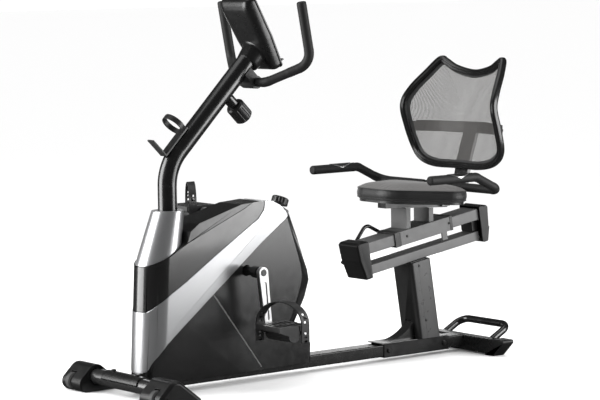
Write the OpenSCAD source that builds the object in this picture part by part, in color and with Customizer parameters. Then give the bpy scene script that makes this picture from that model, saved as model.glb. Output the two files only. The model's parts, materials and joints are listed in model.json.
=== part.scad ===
// Recumbent exercise bike: a low seat on an inclined rail behind an enclosed magnetic belt drive.
// Millimetres. +X runs from the front foot to the rear foot, +Y to the rider's right, +Z up.
// The origin is on the floor, in the centre plane, halfway along the bike.

/* [Base] */
// Distance between the centres of the front and rear foot tubes
foot_span = 1388; // [1200:1:1700]
// Diameter of the front foot tube
front_tube_d = 50; // [40:1:60]
// Height of the centre of the front foot tube
front_tube_z = 47; // [40:1:60]
// Reach of the front caps from the centre plane
front_cap_out = 272; // [220:1:340]
// Length of each front cap along the foot tube
front_cap_len = 112; // [80:1:150]
// Diameter of the transport wheels
wheel_d = 54; // [40:1:60]
// Width of the transport wheels
wheel_w = 24; // [16:1:30]
// Width of the base rail
rail_w = 60; // [45:1:75]
// Height of the base rail
rail_h = 40; // [32:1:50]
// Floor clearance under the base rail
rail_z = 18; // [12:1:30]
// Width of the rear foot tube along the bike
rear_tube_w = 46; // [36:1:60]
// Height of the rear foot tube
rear_tube_h = 50; // [40:1:60]
// Reach of the rear caps from the centre plane
rear_cap_out = 232; // [190:1:300]
// Distance of the lift handle behind the rear foot tube's centre
lift_reach = 112; // [80:1:150]
// Width of the lift handle between its legs
lift_w = 236; // [160:1:280]
// Wall of the steel tubes
wall = 2.5; // [1.5:0.5:4]

/* [Housing] */
// Half width of the housing at its rounded front column
column_r = 70; // [64:1:85]
// Distance of the front column's face behind the front foot tube
column_front = 32; // [28:1:50]
// Backward lean of the front column, in degrees
column_lean = 3; // [0:0.5:6]
// Half width of the housing at its tail
tail_half = 45; // [42:1:60]
// Wall of the housing covers
cover_wall = 6; // [5:0.5:8]
// Thickness of the trim let into the covers
trim_t = 2.5; // [1.5:0.5:3]
// Height that the silver trim stands proud of the covers
trim_proud = 1.5; // [0.5:0.5:3]
// Diameter of the resistance knob
dial_d = 56; // [40:1:70]
// Height of the resistance knob
dial_h = 24; // [16:1:32]

/* [Drive] */
// Distance of the crank axle behind the front foot tube
crank_x = 428; // [410:1:450]
// Height of the crank axle
crank_z = 361; // [340:1:380]
// Length of the crank arms
crank_len = 175; // [140:1:210]
// Distance of the crank arms' inner faces from the centre plane
crank_y = 128; // [110:1:150]
// Angle of the left crank arm behind straight down, in degrees
crank_rest = 6; // [-180:1:180]
// Diameter of the crank axle
axle_d = 20; // [17:1:24]
// Radius of the belt pulley on the crank
pulley_r = 100; // [80:1:110]
// Radius of the belt pulley on the flywheel
pinion_r = 16; // [12:1:20]
// Radius of the flywheel
flywheel_r = 105; // [85:1:110]
// Thickness of the flywheel
flywheel_w = 40; // [24:1:44]
// Diameter of the pedal spindles
spindle_d = 12; // [10:1:14]
// Width of each pedal across the foot
pedal_w = 120; // [90:1:140]
// Length of each pedal along the foot
pedal_l = 118; // [80:1:140]
// Height of the strap over the pedal
strap_h = 88; // [60:1:110]
// Width of the strap band
strap_w = 30; // [20:1:40]

/* [Mast] */
// Diameter of the mast tube
mast_d = 60; // [48:1:64]
// Distance of the mast behind the front foot tube
mast_x = 168; // [160:1:180]
// Height where the mast turns back towards the rider
mast_turn_z = 702; // [660:1:760]
// Radius of the mast's bend
mast_bend = 150; // [110:1:200]
// Backward lean of the upper mast, in degrees
mast_lean = 45; // [38:1:52]
// Length of the upper mast from the turn
mast_upper = 470; // [430:1:560]
// Diameter of the mast's clamp knob
knob_d = 60; // [40:1:70]
// Length of the mast's clamp knob
knob_l = 62; // [40:1:80]

/* [Handlebar] */
// Diameter of the bent bars
bar_d = 25; // [22:0.5:28]
// Diameter of the foam grips
grip_d = 31; // [29:0.5:36]
// Distance of each upright grip from the centre plane
bar_half = 205; // [170:1:250]
// Length of the upright grips
bar_rise = 192; // [140:1:220]

/* [Console] */
// Width of the console
console_w = 152; // [130:1:200]
// Height of the console's face
console_h = 236; // [200:1:280]
// Depth of the console's upper case
console_t = 42; // [34:1:55]
// Backward tilt of the console's face, in degrees
console_tilt = 30; // [20:1:40]
// Travel of the console's keys
key_travel = 1.5; // [0.5:0.5:2.5]

/* [Seat rail] */
// Slope of the seat rails, in degrees
seat_angle = 9; // [5:0.5:12]
// Distance of the seat post's top behind the front foot tube
post_x = 1163; // [1120:1:1230]
// Height of the seat post's top
post_z = 329; // [280:1:380]
// Width of the steel seat post
post_w = 70; // [55:1:78]
// Length of each seat rail
seat_rail_l = 535; // [500:1:640]
// Reach of the seat rails ahead of the post's centre
seat_rail_ahead = 235; // [220:1:280]
// Width of the upper seat rail
upper_w = 80; // [68:1:96]
// Height of the upper seat rail
upper_h = 38; // [30:1:46]
// Width of the lower seat rail
lower_w = 60; // [48:1:72]
// Height of the lower seat rail
lower_h = 32; // [24:1:38]
// Gap between the seat rails
rail_gap = 40; // [34:1:60]
// Length of the seat carriage
carriage_l = 222; // [190:1:260]

/* [Seat] */
// Height of the seat frame's top at the middle of the seat
seat_z = 525; // [510:1:600]
// Distance of the middle of the seat behind the front foot tube
seat_x = 1130; // [1110:1:1150]
// Backward tilt of the seat, in degrees
seat_tilt = 3; // [0:0.5:6]
// Half width of the cushion at its rear
seat_half = 202; // [170:1:230]
// Thickness of the cushion
cushion_t = 54; // [40:1:70]
// Distance of the side grips from the centre plane
side_half = 299; // [270:1:340]
// Height of the side grips
side_z = 622; // [600:1:680]
// Height of the side handle's crossbar
side_low_z = 571; // [563:1:600]

/* [Backrest] */
// Distance of the backrest's foot behind the front foot tube
back_x = 1376; // [1360:1:1400]
// Height of the backrest's lower edge
back_z = 622; // [600:1:660]
// Backward lean of the backrest, in degrees
back_lean = 13.5; // [8:0.5:20]
// Height of the backrest at its horns
back_h = 374; // [320:1:450]
// Half width of the backrest at its widest
back_half = 237; // [190:1:270]
// Forward reach of the backrest's wings
wing = 95; // [50:1:110]
// Width of the backrest's moulded frame
back_rim = 22; // [16:1:28]
// Depth of the backrest's moulded frame
back_depth = 27; // [20:1:36]

/* [Fits] */
// Gap between pieces that are fixed together
slip = 0.2; // [0.1:0.05:0.4]
// Radial running gap of shafts and pins
run = 0.05; // [0.02:0.01:0.1]
// Gap between pieces that pass each other
air = 1; // [0.5:0.25:2]

/* [Hidden] */
$fn = 72;

// Colours of the finishes
black_steel = "#1c1c1e";
black_plastic = "#17181a";
grey_plastic = "#3c3d40";
silver_plastic = "#d8dadb";
bright_steel = "#c9ccd0";
foam = "#232325";
vinyl = "#4a4a4c";
net = "#8f9192";

// Places along the base
wheel_x = -42;
wheel_z = wheel_d / 2 + 3;
wheel_pin_d = 9.6;
wheel_pin_half = 33;
wheel_bevel = 4;
wheel_y = front_cap_out - 47;
cap_in = front_cap_out - front_cap_len;
front_tube_half = wheel_y - wheel_w / 2 - 9;
rear_tube_z = 5;
rear_tube_half = rear_cap_out - 54;
rail_front = front_tube_d * 0.3;
rail_back = foot_span - rear_tube_w / 2;
rail_top = rail_z + rail_h;
saddle_t = 4;
saddle_half = 95;
lift_z = 86;
lift_d = 25;
centre_x = (foot_span + lift_reach + lift_d / 2 + wheel_x - wheel_d / 2) / 2;

// Places in the housing, and the ends of the space that cuts through it
fore_x = -60;
aft_x = crank_x + 400;
housing_side = 200;
housing_high = 700;
column_x = column_front + column_r;
tail_x = crank_x + 246;
tail_corner = 20;
tail_start = crank_x + 132;
tail_low_z = 176;
tail_rim_half = tail_half - 10;
side_taper = (column_r - tail_half) / (tail_x - column_x);
tail_flat_half = tail_half + side_taper * (tail_x - tail_start) + 1;
panel_fall = 2;
belt_fall = 2;
neck_wall = 3;
neck_low_z = 396;
neck_top_z = 566;
neck_shoulder = 21;
neck_clear = 1.5;

// Places in the drive
flywheel_x = crank_x - 116;
flywheel_z = 200;
shell_d = 46;
bearing_d = 40;
bearing_w = 11;
shell_half = 25;
belt_y = 28;
belt_w = 10;
belt_t = 3;
flange_t = 2;
bracket_in = flywheel_w / 2 + 4;
bracket_out = belt_y + belt_w + 4;
bracket_t = 5;
stub_d = mast_d + 2 * slip + 7;
stub_top = 556;
flywheel_axle_d = 12;
magnet_pin = [flywheel_x + 4, flywheel_z + flywheel_r + 22];
magnet_pin_d = 8;
arm_t = 16;
arm_head_d = 36;
arm_toe_d = 28;
sleeve_d = 28;
cup_d = 38;
cup_l = 32;
cover_hole_d = sleeve_d + 8;
belt_gap = 0.3;
magnet_half = 14;
hub_d = 44;
hub_z = -12;
tread_z = 10;
tread_t = 8;
lug_t = 3;
side_t = 6;
strap_t = 3;
strap_tail = 46;
slot_w = 11;
slot_h = 6;
strap_x0 = -38;
strap_x1 = 38;
pedal_in = crank_y + arm_t + air + strap_t + slip + lug_t;
dial_tilt = 22;
dial_base = 12;
dial_shaft_d = 10;

// Places on the mast and its fittings
mast_dir = [sin(mast_lean), 0, cos(mast_lean)];
mast_out = [cos(mast_lean), 0, -sin(mast_lean)];
mast_turn = [mast_x, 0, mast_turn_z];
mast_foot_z = stub_top - 120;
knob_at = mast_turn + 310 * mast_dir;
cage_at = mast_turn + 92 * mast_dir;
bar_at = mast_turn + 408 * mast_dir + (mast_d / 2 + 29) * mast_out;
console_at = [mast_x + 342, 0, mast_turn_z + 430];
mast_end = mast_turn + mast_upper * mast_dir;
boss_l = 29;
stud_d = 12;
bottle_d = 70;
bar_inner = [bar_at[0], 75, bar_at[2]];
bar_knee = [bar_at[0] + 79, bar_half, bar_at[2] + 60];
bar_tip = bar_knee + bar_rise * [-sin(10.6), 0, cos(10.6)];
bar_bend = 55;
console_up = 107;
ledge_y = console_up - console_h;
screen_w = 100;
screen_h = 62;
screen_y = 40;
key_x = 30;
key_y = -20;
key_w = 22;
key_h = 12;

// Places on the seat rails, measured from the top of the post along and square to the rails
rail_start = -seat_rail_ahead;
rail_end = rail_start + seat_rail_l;
upper_n = lower_h + rail_gap;
upper_top = upper_n + upper_h;
bush_gap = 2;
sleeve_t = 3;
sleeve_top = upper_top + bush_gap + sleeve_t;
sleeve_low = upper_n - bush_gap - sleeve_t;
sleeve_half = upper_w / 2 + bush_gap + sleeve_t;
sleeve_start = -71;
bush_l = 22;
lever_y = sleeve_half + 15;
lever_pin_d = 10;
lever_s = -50;
lever_n = upper_n + upper_h / 2;
cap_wall = 10;
cap_lap = 22;
sleeve_end = sleeve_start + carriage_l;
lever_hub_w = 18;
post_sleeve_t = 3;
plate_t = 4;
plate_z = rail_top + slip + post_sleeve_t;
gusset_half = 20;
gusset_l = 127;
gusset_h = 60;
gusset_r = (gusset_l * gusset_l + gusset_h * gusset_h) / (2 * gusset_h);
cover_l = 88;
cover_w = 100;

// Places on the seat
seat_tube_w = 40;
seat_tube_h = 20;
seat_bracket_w = 78;
pan_t = 8;
seat_front_r = 110;
seat_rear_r = 70;
seat_front = [-35, 30];
seat_rear = [70, seat_half - seat_rear_r];
side_x = seat_x + 158;
side_knee_x = seat_x + 53;
side_tip_x = seat_x - 146;
upright_w = 64;
upright_t = 14;
grip_end_x = side_knee_x - 18;
side_path = [
    [side_tip_x, side_half, side_z], [side_knee_x, side_half, side_z], [side_x, side_half, side_low_z]
];
bow_reach = back_half - 25;
bow_drop = 66;
bow_r = (bow_reach * bow_reach + bow_drop * bow_drop) / (2 * bow_drop);
bow_angle = asin(bow_reach / bow_r);
bow_x = back_x + 64 - bow_r;
bow_z = back_z + 136;
net_t = 1.2;

// Bent rods: swell of a bend over its straight runs, and how far they run into it
bend_swell = 0.2;
bend_lap = 1;

// Vector and outline helpers
function left_of(p) = [p[0], -p[1], p[2]];
function unit(v) = v / norm(v);
function turn(a, b, c) = acos(max(-1, min(1, unit(b - a) * unit(c - b))));
function setback(path, i, bend) =
    i == 0 || i == len(path) - 1 ? 0 : bend * tan(turn(path[i - 1], path[i], path[i + 1]) / 2);
// Point of the rounded outline round a set of circles [x, y, r] that lies farthest in a direction
function farthest(circles, dir) =
    let (reach = [for (c = circles) [c[0], c[1]] * dir + c[2]], best = max(reach))
    let (c = circles[search(best, reach)[0]])
    [c[0], c[1]] + c[2] * dir;
function rounded(circles, count) =
    [for (i = [0:count - 1]) let (a = 360 * i / count) farthest(circles, [cos(a), sin(a)])];
// Point on a smooth closed curve through a list of points
function knot(points, i) = points[(i + len(points)) % len(points)];
function smooth(points, i, t) =
    let (a = knot(points, i - 1), b = knot(points, i), c = knot(points, i + 1), d = knot(points, i + 2))
    b + 0.5 * t * (c - a + t * (2 * a - 5 * b + 4 * c - d + t * (3 * (b - c) + d - a)));

// Straight rod between two points
module stick(a, b, d) {
    v = b - a;
    translate(a) rotate([0, acos(v[2] / norm(v)), atan2(v[1], v[0])]) cylinder(d = d, h = norm(v));
}

// Part turn of rod at the corner of a path, a hair thicker than the straight runs that enter it
module elbow(a, b, c, d, bend) {
    along = unit(b - a);
    inward = unit(unit(c - b) - (unit(c - b) * along) * along);
    square = cross(-inward, along);
    start = b - along * bend * tan(turn(a, b, c) / 2);
    mid = start + inward * bend;
    multmatrix([
        [-inward[0], along[0], square[0], mid[0]],
        [-inward[1], along[1], square[1], mid[1]],
        [-inward[2], along[2], square[2], mid[2]],
        [0, 0, 0, 1]
    ]) rotate_extrude(angle = turn(a, b, c)) translate([bend, 0]) circle(d = d + bend_swell);
}

// Bent rod along a path of points
module bent_rod(path, d, bend) {
    last = len(path) - 1;
    for (i = [0:last - 1]) {
        along = unit(path[i + 1] - path[i]);
        from = i == 0 ? 0 : setback(path, i, bend) - bend_lap;
        to = i == last - 1 ? 0 : setback(path, i + 1, bend) - bend_lap;
        stick(path[i] + along * from, path[i + 1] - along * to, d);
    }
    for (i = [1:last - 1]) elbow(path[i - 1], path[i], path[i + 1], d, bend);
}

// Bent tube, open at both ends
module bent_tube(path, d, thick, bend) {
    last = len(path) - 1;
    first_out = path[0] - unit(path[1] - path[0]);
    last_out = path[last] + unit(path[last] - path[last - 1]);
    longer = [for (i = [0:last]) i == 0 ? first_out : i == last ? last_out : path[i]];
    difference() {
        bent_rod(path, d, bend);
        bent_rod(longer, d - 2 * thick, bend);
    }
}

// Round bar or hole along Y
module round_y(d, y0, y1, x = 0, z = 0)
    translate([x, y0, z]) rotate([-90, 0, 0]) cylinder(d = d, h = y1 - y0);

// Side-view outline carried across from y0 to y1
module slab(y0, y1) translate([0, y1, 0]) rotate([90, 0, 0]) linear_extrude(y1 - y0) children();

// Box from two corners
module block(a, b) translate(a) cube(b - a);

// Copies on the left and on the right
module both_sides() {
    children();
    mirror([0, 1, 0]) children();
}

// Closed skin over rings of equal count, with a fan of triangles over each end
module loft(rings) {
    n = len(rings[0]);
    last = len(rings) - 1;
    function middle(ring) = [for (i = [0:n - 1]) 1 / n] * ring;
    sides = [for (k = [0:last - 1], i = [0:n - 1]) each let (j = (i + 1) % n) [
        [k * n + i, (k + 1) * n + i, (k + 1) * n + j],
        [k * n + i, (k + 1) * n + j, k * n + j]
    ]];
    first_fan = [for (i = [0:n - 1]) [(last + 1) * n, i, (i + 1) % n]];
    last_fan = [for (i = [0:n - 1]) [(last + 1) * n + 1, last * n + (i + 1) % n, last * n + i]];
    points = concat([for (ring = rings) each ring], [middle(rings[0]), middle(rings[last])]);
    polyhedron(points, concat(sides, first_fan, last_fan));
}

module place() translate([-centre_x, 0, 0]) children();
module on_rail() translate([post_x, 0, post_z]) rotate([0, -seat_angle, 0]) children();
module on_seat() translate([seat_x, 0, seat_z]) rotate([0, seat_tilt, 0]) children();
module on_mast(at) translate(at) rotate([0, mast_lean, 0]) children();
module on_console() {
    up = [-sin(console_tilt), 0, cos(console_tilt)];
    out = [cos(console_tilt), 0, sin(console_tilt)];
    multmatrix([
        [0, up[0], out[0], console_at[0]],
        [1, up[1], out[1], console_at[1]],
        [0, up[2], out[2], console_at[2]],
        [0, 0, 0, 1]
    ]) children();
}

// Base

// Box-section spine with the saddle plate that clips over the front foot tube
module base_rail() color(black_steel) difference() {
    union() {
        block([rail_front, -rail_w / 2, rail_z], [rail_back, rail_w / 2, rail_top]);
        intersection() {
            round_y(front_tube_d + 2 * slip + 2 * saddle_t, -saddle_half, saddle_half, 0, front_tube_z);
            block(
                [-front_tube_d, -saddle_half, front_tube_z + 2],
                [front_tube_d, saddle_half, 2 * front_tube_z]
            );
        }
    }
    block(
        [rail_front - 1, wall - rail_w / 2, rail_z + wall],
        [rail_back + 1, rail_w / 2 - wall, rail_top - wall]
    );
    round_y(front_tube_d + 2 * slip, -saddle_half - 1, saddle_half + 1, 0, front_tube_z);
    saddle_bolts() bolt_hole(8);
}

module front_cross_tube() color(black_steel) difference() {
    round_y(front_tube_d, -front_tube_half, front_tube_half, 0, front_tube_z);
    round_y(front_tube_d - 2 * wall, -front_tube_half - 1, front_tube_half + 1, 0, front_tube_z);
}

// Side view of a moulded front shoe: wheel fork, tube socket and heel
module shoe_outline(inset) hull() {
    translate([wheel_x + 6, wheel_z - 3]) circle(r = wheel_z - 3 - inset);
    translate([0, front_tube_z + 3]) circle(r = front_tube_d / 2 + 10 - inset);
    translate([82, 13]) circle(r = 13 - inset);
}

module front_cap() difference() {
    hull() {
        slab(cap_in, front_cap_out - 10) shoe_outline(0);
        slab(front_cap_out - 1, front_cap_out) shoe_outline(9);
    }
    round_y(front_tube_d + 2 * slip, cap_in - 1, front_tube_half + slip, 0, front_tube_z);
    round_y(wheel_d + 6, wheel_y - wheel_w / 2 - air, wheel_y + wheel_w / 2 + air, wheel_x, wheel_z);
    round_y(wheel_pin_d + 2 * slip, wheel_y - wheel_pin_half - 1, front_cap_out + 1, wheel_x, wheel_z);
}
module front_caps() color(black_plastic) both_sides() front_cap();

module wheel_axles() color(bright_steel) both_sides()
    round_y(wheel_pin_d, wheel_y - wheel_pin_half, wheel_y + wheel_pin_half, wheel_x, wheel_z);

// Rubber-tyred roller with a recessed hub on each face
module wheel_profile() {
    bore = wheel_pin_d / 2 + run;
    edge = wheel_d / 2;
    half = wheel_w / 2;
    difference() {
        polygon([
            [bore, -half], [edge - wheel_bevel, -half], [edge, wheel_bevel - half],
            [edge, half - wheel_bevel], [edge - wheel_bevel, half], [bore, half]
        ]);
        for (face = [-1, 1]) translate([edge / 2, face * half]) square([wheel_d / 5, 6], center = true);
    }
}
module transport_wheel(side)
    translate([wheel_x, side * wheel_y, wheel_z]) rotate([90, 0, 0]) rotate_extrude() wheel_profile();
module transport_wheel_left() color(black_plastic) transport_wheel(-1);
module transport_wheel_right() color(black_plastic) transport_wheel(1);

module rear_cross_tube() color(black_steel) difference() {
    low = [foot_span - rear_tube_w / 2, -rear_tube_half, rear_tube_z];
    high = [foot_span + rear_tube_w / 2, rear_tube_half, rear_tube_z + rear_tube_h];
    block(low, high);
    block(low + [wall, -1, wall], high + [-wall, 1, -wall]);
}

// End cap with a slanted toe, a plug in the tube and a pad under it
module rear_cap() {
    top = rear_tube_z + rear_tube_h + 3;
    low = foot_span - rear_tube_w / 2 - 2;
    translate([low, 0, 0]) rotate([90, 0, 90]) linear_extrude(rear_tube_w + 4) polygon([
        [rear_tube_half - 38, 0], [rear_tube_half + 6, 0], [rear_cap_out, 46], [rear_cap_out, top - 4],
        [rear_cap_out - 4, top], [rear_tube_half + slip, top], [rear_tube_half + slip, rear_tube_z - slip],
        [rear_tube_half - 38, rear_tube_z - slip]
    ]);
    inner = wall + slip;
    block(
        [foot_span - rear_tube_w / 2 + inner, rear_tube_half - 30, rear_tube_z + inner],
        [foot_span + rear_tube_w / 2 - inner, rear_tube_half + 1, rear_tube_z + rear_tube_h - inner]
    );
}
module rear_caps() color(black_plastic) both_sides() rear_cap();

// Bent lift handle welded to the back of the rear foot tube
module rear_lift_handle() color(black_steel) difference() {
    rear = foot_span + rear_tube_w / 2 + slip;
    foot = [rear - 14, lift_w / 2, 32];
    bend_at = [foot_span + lift_reach, lift_w / 2, lift_z];
    bent_rod([foot, bend_at, [bend_at[0], -bend_at[1], lift_z], [foot[0], -foot[1], foot[2]]], lift_d, 38);
    block([rear - 60, -lift_w, 0], [rear, lift_w, lift_z + 40]);
}

// Drive housing

// Plan view of the housing, grown or shrunk by d
module housing_plan(d) polygon(rounded([
    [column_x, 0, column_r + d],
    [tail_x, tail_half - tail_corner, tail_corner + d],
    [tail_x, tail_corner - tail_half, tail_corner + d]
], 96));

// Points of a side view, given behind the crank axle
function aft(points) = [for (p = points) [crank_x + p[0], p[1]]];

// Side view of the covers: base, waist under the tail, tail, roof and the step under the neck
module cover_outline() offset(r = 14) offset(delta = -28) offset(r = 14) polygon(concat([[fore_x, 38]], aft([
    [277, 38], [277, 86], [206, 176], [248, 253], [266, 306], [260, 339], [223, 439], [184, 535], [108, 571],
    [60, 576], [-19, 570], [-187, 524], [-222, 500], [-236, 467], [-307, 430], [-369, 402]
]), [[fore_x, 398]]));

// Rear edge of the tail in side view, and the edge of its flat sides inside the slanted rim
tail_edge = aft([
    [100, 600], [184, 535], [223, 439], [260, 339], [266, 306], [248, 253], [206, 176], [192, 150], [100, 150]
]);
tail_side = aft([
    [100, 600], [160, 535], [184, 453], [200, 407], [211, 365], [214, 338], [212, 306], [196, 253],
    [168, 190], [154, 150], [100, 150]
]);

// Tail whose sides slant in to its rear edge, with all that lies ahead of it or below it
module tail_form(d) {
    block([fore_x, -housing_side, 0], [tail_start, housing_side, housing_high]);
    block([fore_x, -housing_side, 0], [aft_x, housing_side, tail_low_z]);
    hull() {
        slab(-tail_rim_half - d, tail_rim_half + d) offset(delta = d) polygon(tail_edge);
        slab(-tail_flat_half - d, tail_flat_half + d) offset(delta = d) polygon(tail_side);
    }
}

// Half of space outside a plane that falls into the left side by an angle, below a crease through the point
// (x, z) that climbs at another angle, with the plane moved out by d
module side_fall(x, z, climb, fall, d) translate([x, side_taper * (x - column_x) - column_r, z])
    rotate([0, 0, atan(side_taper)]) rotate([0, -climb, 0]) rotate([fall, 0, 0])
        block([-900, -100, -900], [900, -d, 0]);

// Part of each side panel under the silver belt that falls away from two creases
module panel_facets(d) both_sides() intersection() {
    rotate([0, column_lean, 0]) {
        side_fall(crank_x - 145, 317, -50, panel_fall, d);
        side_fall(crank_x - 170, 205, -43, 2 * panel_fall, d - 2);
    }
    slab(-housing_side, 0) polygon(concat(
        [[crank_x + 74, 30]], [for (p = shroud_low) if (p[0] < crank_x - 100) p], [[fore_x, 66], [fore_x, 30]]
    ));
}

// Solid of the covers, grown or shrunk by d
module housing_solid(d) difference() {
    intersection() {
        rotate([0, column_lean, 0]) linear_extrude(housing_high) housing_plan(d);
        slab(-housing_side, housing_side) offset(delta = d) cover_outline();
        tail_form(d);
    }
    panel_facets(d);
}

// Side view of the dark band, from the front column up to the roof
module band_outline() polygon(concat([[fore_x, 396]], aft([
    [-369, 400], [-307, 428], [-236, 465], [-125, 509], [-4, 557], [58, 590], [80, 590], [72, 548], [49, 521],
    [-25, 478], [-127, 418], [-247, 345], [-306, 313], [-348, 284], [-373, 262]
]), [[fore_x, 252]]));

// Lower edge of the silver shroud in side view, from the knob down to the foot of the column
shroud_low = aft([
    [190, 534], [161, 509], [62, 443], [-43, 366], [-129, 302], [-214, 239], [-270, 198], [-322, 158],
    [-364, 110], [-378, 80], [-395, 70]
]);

// Side view of the silver shroud, from the foot of the column up to the knob
module shroud_outline() polygon(concat([[fore_x, 251]], aft([
    [-373, 261], [-348, 283], [-306, 312], [-247, 344], [-127, 417], [-25, 477], [50, 520], [73.5, 547],
    [82, 600], [230, 600]
]), shroud_low, [[fore_x, 66]]));

// Skin let into the covers
module trim_skin(proud) intersection() {
    difference() {
        housing_solid(proud);
        housing_solid(-trim_t);
    }
    slab(-housing_side, housing_side) children();
}

// Lower edge of the neck collar in side view, just over the dark band
neck_edge = concat([[fore_x, 397]], aft([[-369, 401], [-307, 429], [-236, 466], [-125, 510], [0, 560]]));

// Round collar that narrows from the front column to the mast, grown by d, with its top lowered by drop
module neck_solid(d, drop = 0) hull() {
    rotate([0, column_lean, 0]) translate([column_x, 0, neck_low_z])
        cylinder(r = column_r + 0.5 + d, h = 0.1);
    translate([mast_x, 0, neck_top_z - drop]) cylinder(r = mast_d / 2 + neck_shoulder + d, h = 0.1);
}

// Room for the collar in the covers, a little below its lower edge
module neck_room() intersection() {
    neck_solid(slip);
    slab(-housing_side, housing_side) translate([0, -cover_wall - neck_clear])
        polygon(concat(neck_edge, [[crank_x, housing_high], [fore_x, housing_high]]));
}

module covers() difference() {
    housing_solid(0);
    housing_solid(-cover_wall);
    intersection() {
        difference() {
            housing_solid(20);
            housing_solid(-trim_t - slip);
        }
        slab(-housing_side, housing_side) union() {
            offset(delta = slip) band_outline();
            offset(delta = slip) shroud_outline();
        }
    }
    neck_room();
    block([fore_x, -rail_w / 2 - air, 0], [aft_x, rail_w / 2 + air, rail_top + air]);
    round_y(cover_hole_d, -housing_side, housing_side, crank_x, crank_z);
    dial_hole();
}

module cover_left() color(grey_plastic) intersection() {
    covers();
    block([fore_x, -housing_side, 0], [aft_x, -slip / 2, housing_high]);
}
module cover_right() color(grey_plastic) intersection() {
    covers();
    block([fore_x, slip / 2, 0], [aft_x, housing_side, housing_high]);
}

// Belt with a fold along its side, under which it falls away to its lower edge
module silver_shroud() color(silver_plastic) difference() {
    trim_skin(trim_proud) shroud_outline();
    both_sides() rotate([0, column_lean, 0]) side_fall(crank_x - 156, 345, 41.5, belt_fall, trim_proud);
    dial_hole();
}
module dark_band() color(grey_plastic) difference() {
    trim_skin(0) band_outline();
    neck_solid(-neck_wall - neck_clear);
}

// Open below, with a top plate that closes on the mast
module neck_collar() color(silver_plastic) difference() {
    neck_solid(0);
    neck_solid(-neck_wall, neck_wall);
    translate([mast_x, 0, neck_low_z]) cylinder(d = stub_d + 2 * slip, h = stub_top + slip - neck_low_z);
    translate([mast_x, 0, neck_low_z]) cylinder(d = mast_d + 2 * slip, h = neck_top_z);
    slab(-housing_side, housing_side) polygon(concat([[fore_x, 0]], neck_edge, [[crank_x, 0]]));
}

// Drive

module dial_seat() translate([crank_x + 171, 0, 543]) rotate([0, dial_tilt, 0]) children();
module dial_hole() dial_seat() translate([0, 0, -40]) cylinder(d = dial_shaft_d + 4, h = 80);

// Welded carrier inside the housing: mast socket, crank shell, flywheel bracket and brake lug
module drive_frame() color(black_steel) difference() {
    union() {
        translate([mast_x, 0, rail_top]) cylinder(d = stub_d, h = stub_top - rail_top);
        round_y(shell_d, -shell_half, shell_half, crank_x, crank_z);
        stick([crank_x, 0, crank_z], [mast_x, 0, crank_z + 84], 40);
        slab(-20, 20) polygon([
            [crank_x + 48, rail_top], [crank_x + 100, rail_top],
            [crank_x + 20, crank_z], [crank_x - 20, crank_z]
        ]);
        both_sides() slab(magnet_half + air, magnet_half + air + 4) hull() {
            translate(magnet_pin) circle(d = 20);
            translate(magnet_pin + [0, 70]) circle(d = 20);
        }
        round_y(magnet_pin_d, -magnet_half - air - 1, magnet_half + air + 1, magnet_pin[0], magnet_pin[1]);
    }
    translate([mast_x, 0, 0]) cylinder(d = mast_d + 2 * slip, h = stub_top + 1);
    round_y(axle_d + 8, -shell_half - 1, shell_half + 1, crank_x, crank_z);
    both_sides() round_y(bearing_d + 2 * run, shell_half - bearing_w, shell_half + 1, crank_x, crank_z);
}

// U-shaped bracket that holds both ends of the flywheel axle
module flywheel_bracket() color(black_steel) difference() {
    block(
        [flywheel_x - 25, -bracket_in - bracket_t, rail_top],
        [flywheel_x + 25, bracket_out + bracket_t, flywheel_z + 25]
    );
    block(
        [flywheel_x - 26, -bracket_in, rail_top + bracket_t],
        [flywheel_x + 26, bracket_out, flywheel_z + 26]
    );
    round_y(flywheel_axle_d + 2 * run, -80, 80, flywheel_x, flywheel_z);
}

module crank_bearings() color(bright_steel) both_sides() difference() {
    round_y(bearing_d, shell_half - bearing_w, shell_half, crank_x, crank_z);
    round_y(axle_d + 2 * run, 0, shell_half + 1, crank_x, crank_z);
}

// Axle with a plain sleeve through each cover and a cup behind each arm
module crank_axle() color(black_steel) {
    round_y(axle_d, -crank_y - arm_t - 2, crank_y + arm_t + 2, crank_x, crank_z);
    both_sides() {
        round_y(sleeve_d, belt_y + belt_w + 8, crank_y - cup_l, crank_x, crank_z);
        round_y(cup_d, crank_y - cup_l, crank_y - 6, crank_x, crank_z);
        round_y(sleeve_d, crank_y - 6, crank_y, crank_x, crank_z);
    }
}

// Belt pulley with two flanges and lightening holes
module crank_pulley() color(black_plastic)
    translate([crank_x, belt_y, crank_z]) rotate([-90, 0, 0]) pulley_wheel();
module pulley_wheel() difference() {
    union() {
        cylinder(r = pulley_r, h = belt_w);
        for (z = [-flange_t, belt_w]) translate([0, 0, z]) cylinder(r = pulley_r + belt_t, h = flange_t);
    }
    translate([0, 0, -50]) cylinder(d = axle_d + 2 * slip, h = 100);
    for (i = [0:4]) rotate(72 * i) translate([0.6 * pulley_r, 0, -50]) cylinder(d = 0.4 * pulley_r, h = 100);
}

module at_crank() translate([crank_x, 0, crank_z]) rotate([0, -crank_rest, 0]) children();

// Forged arm in its own frame, hanging straight down
module crank_arm() difference() {
    slab(crank_y, crank_y + arm_t) hull() {
        circle(d = arm_head_d);
        translate([0, -crank_len]) circle(d = arm_toe_d);
    }
    round_y(axle_d + 2 * slip, 0, crank_y + arm_t + 1);
    round_y(spindle_d + 2 * slip, 0, crank_y + arm_t + 1, 0, -crank_len);
    slab(crank_y + arm_t - 3, crank_y + arm_t + 1) hull() {
        translate([0, -arm_head_d]) circle(d = 12);
        translate([0, arm_toe_d - crank_len]) circle(d = 8);
    }
}
module crank_arm_left() color(bright_steel) at_crank() mirror([0, 1, 0]) crank_arm();
module crank_arm_right() color(bright_steel) at_crank() rotate([0, 180, 0]) crank_arm();

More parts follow.
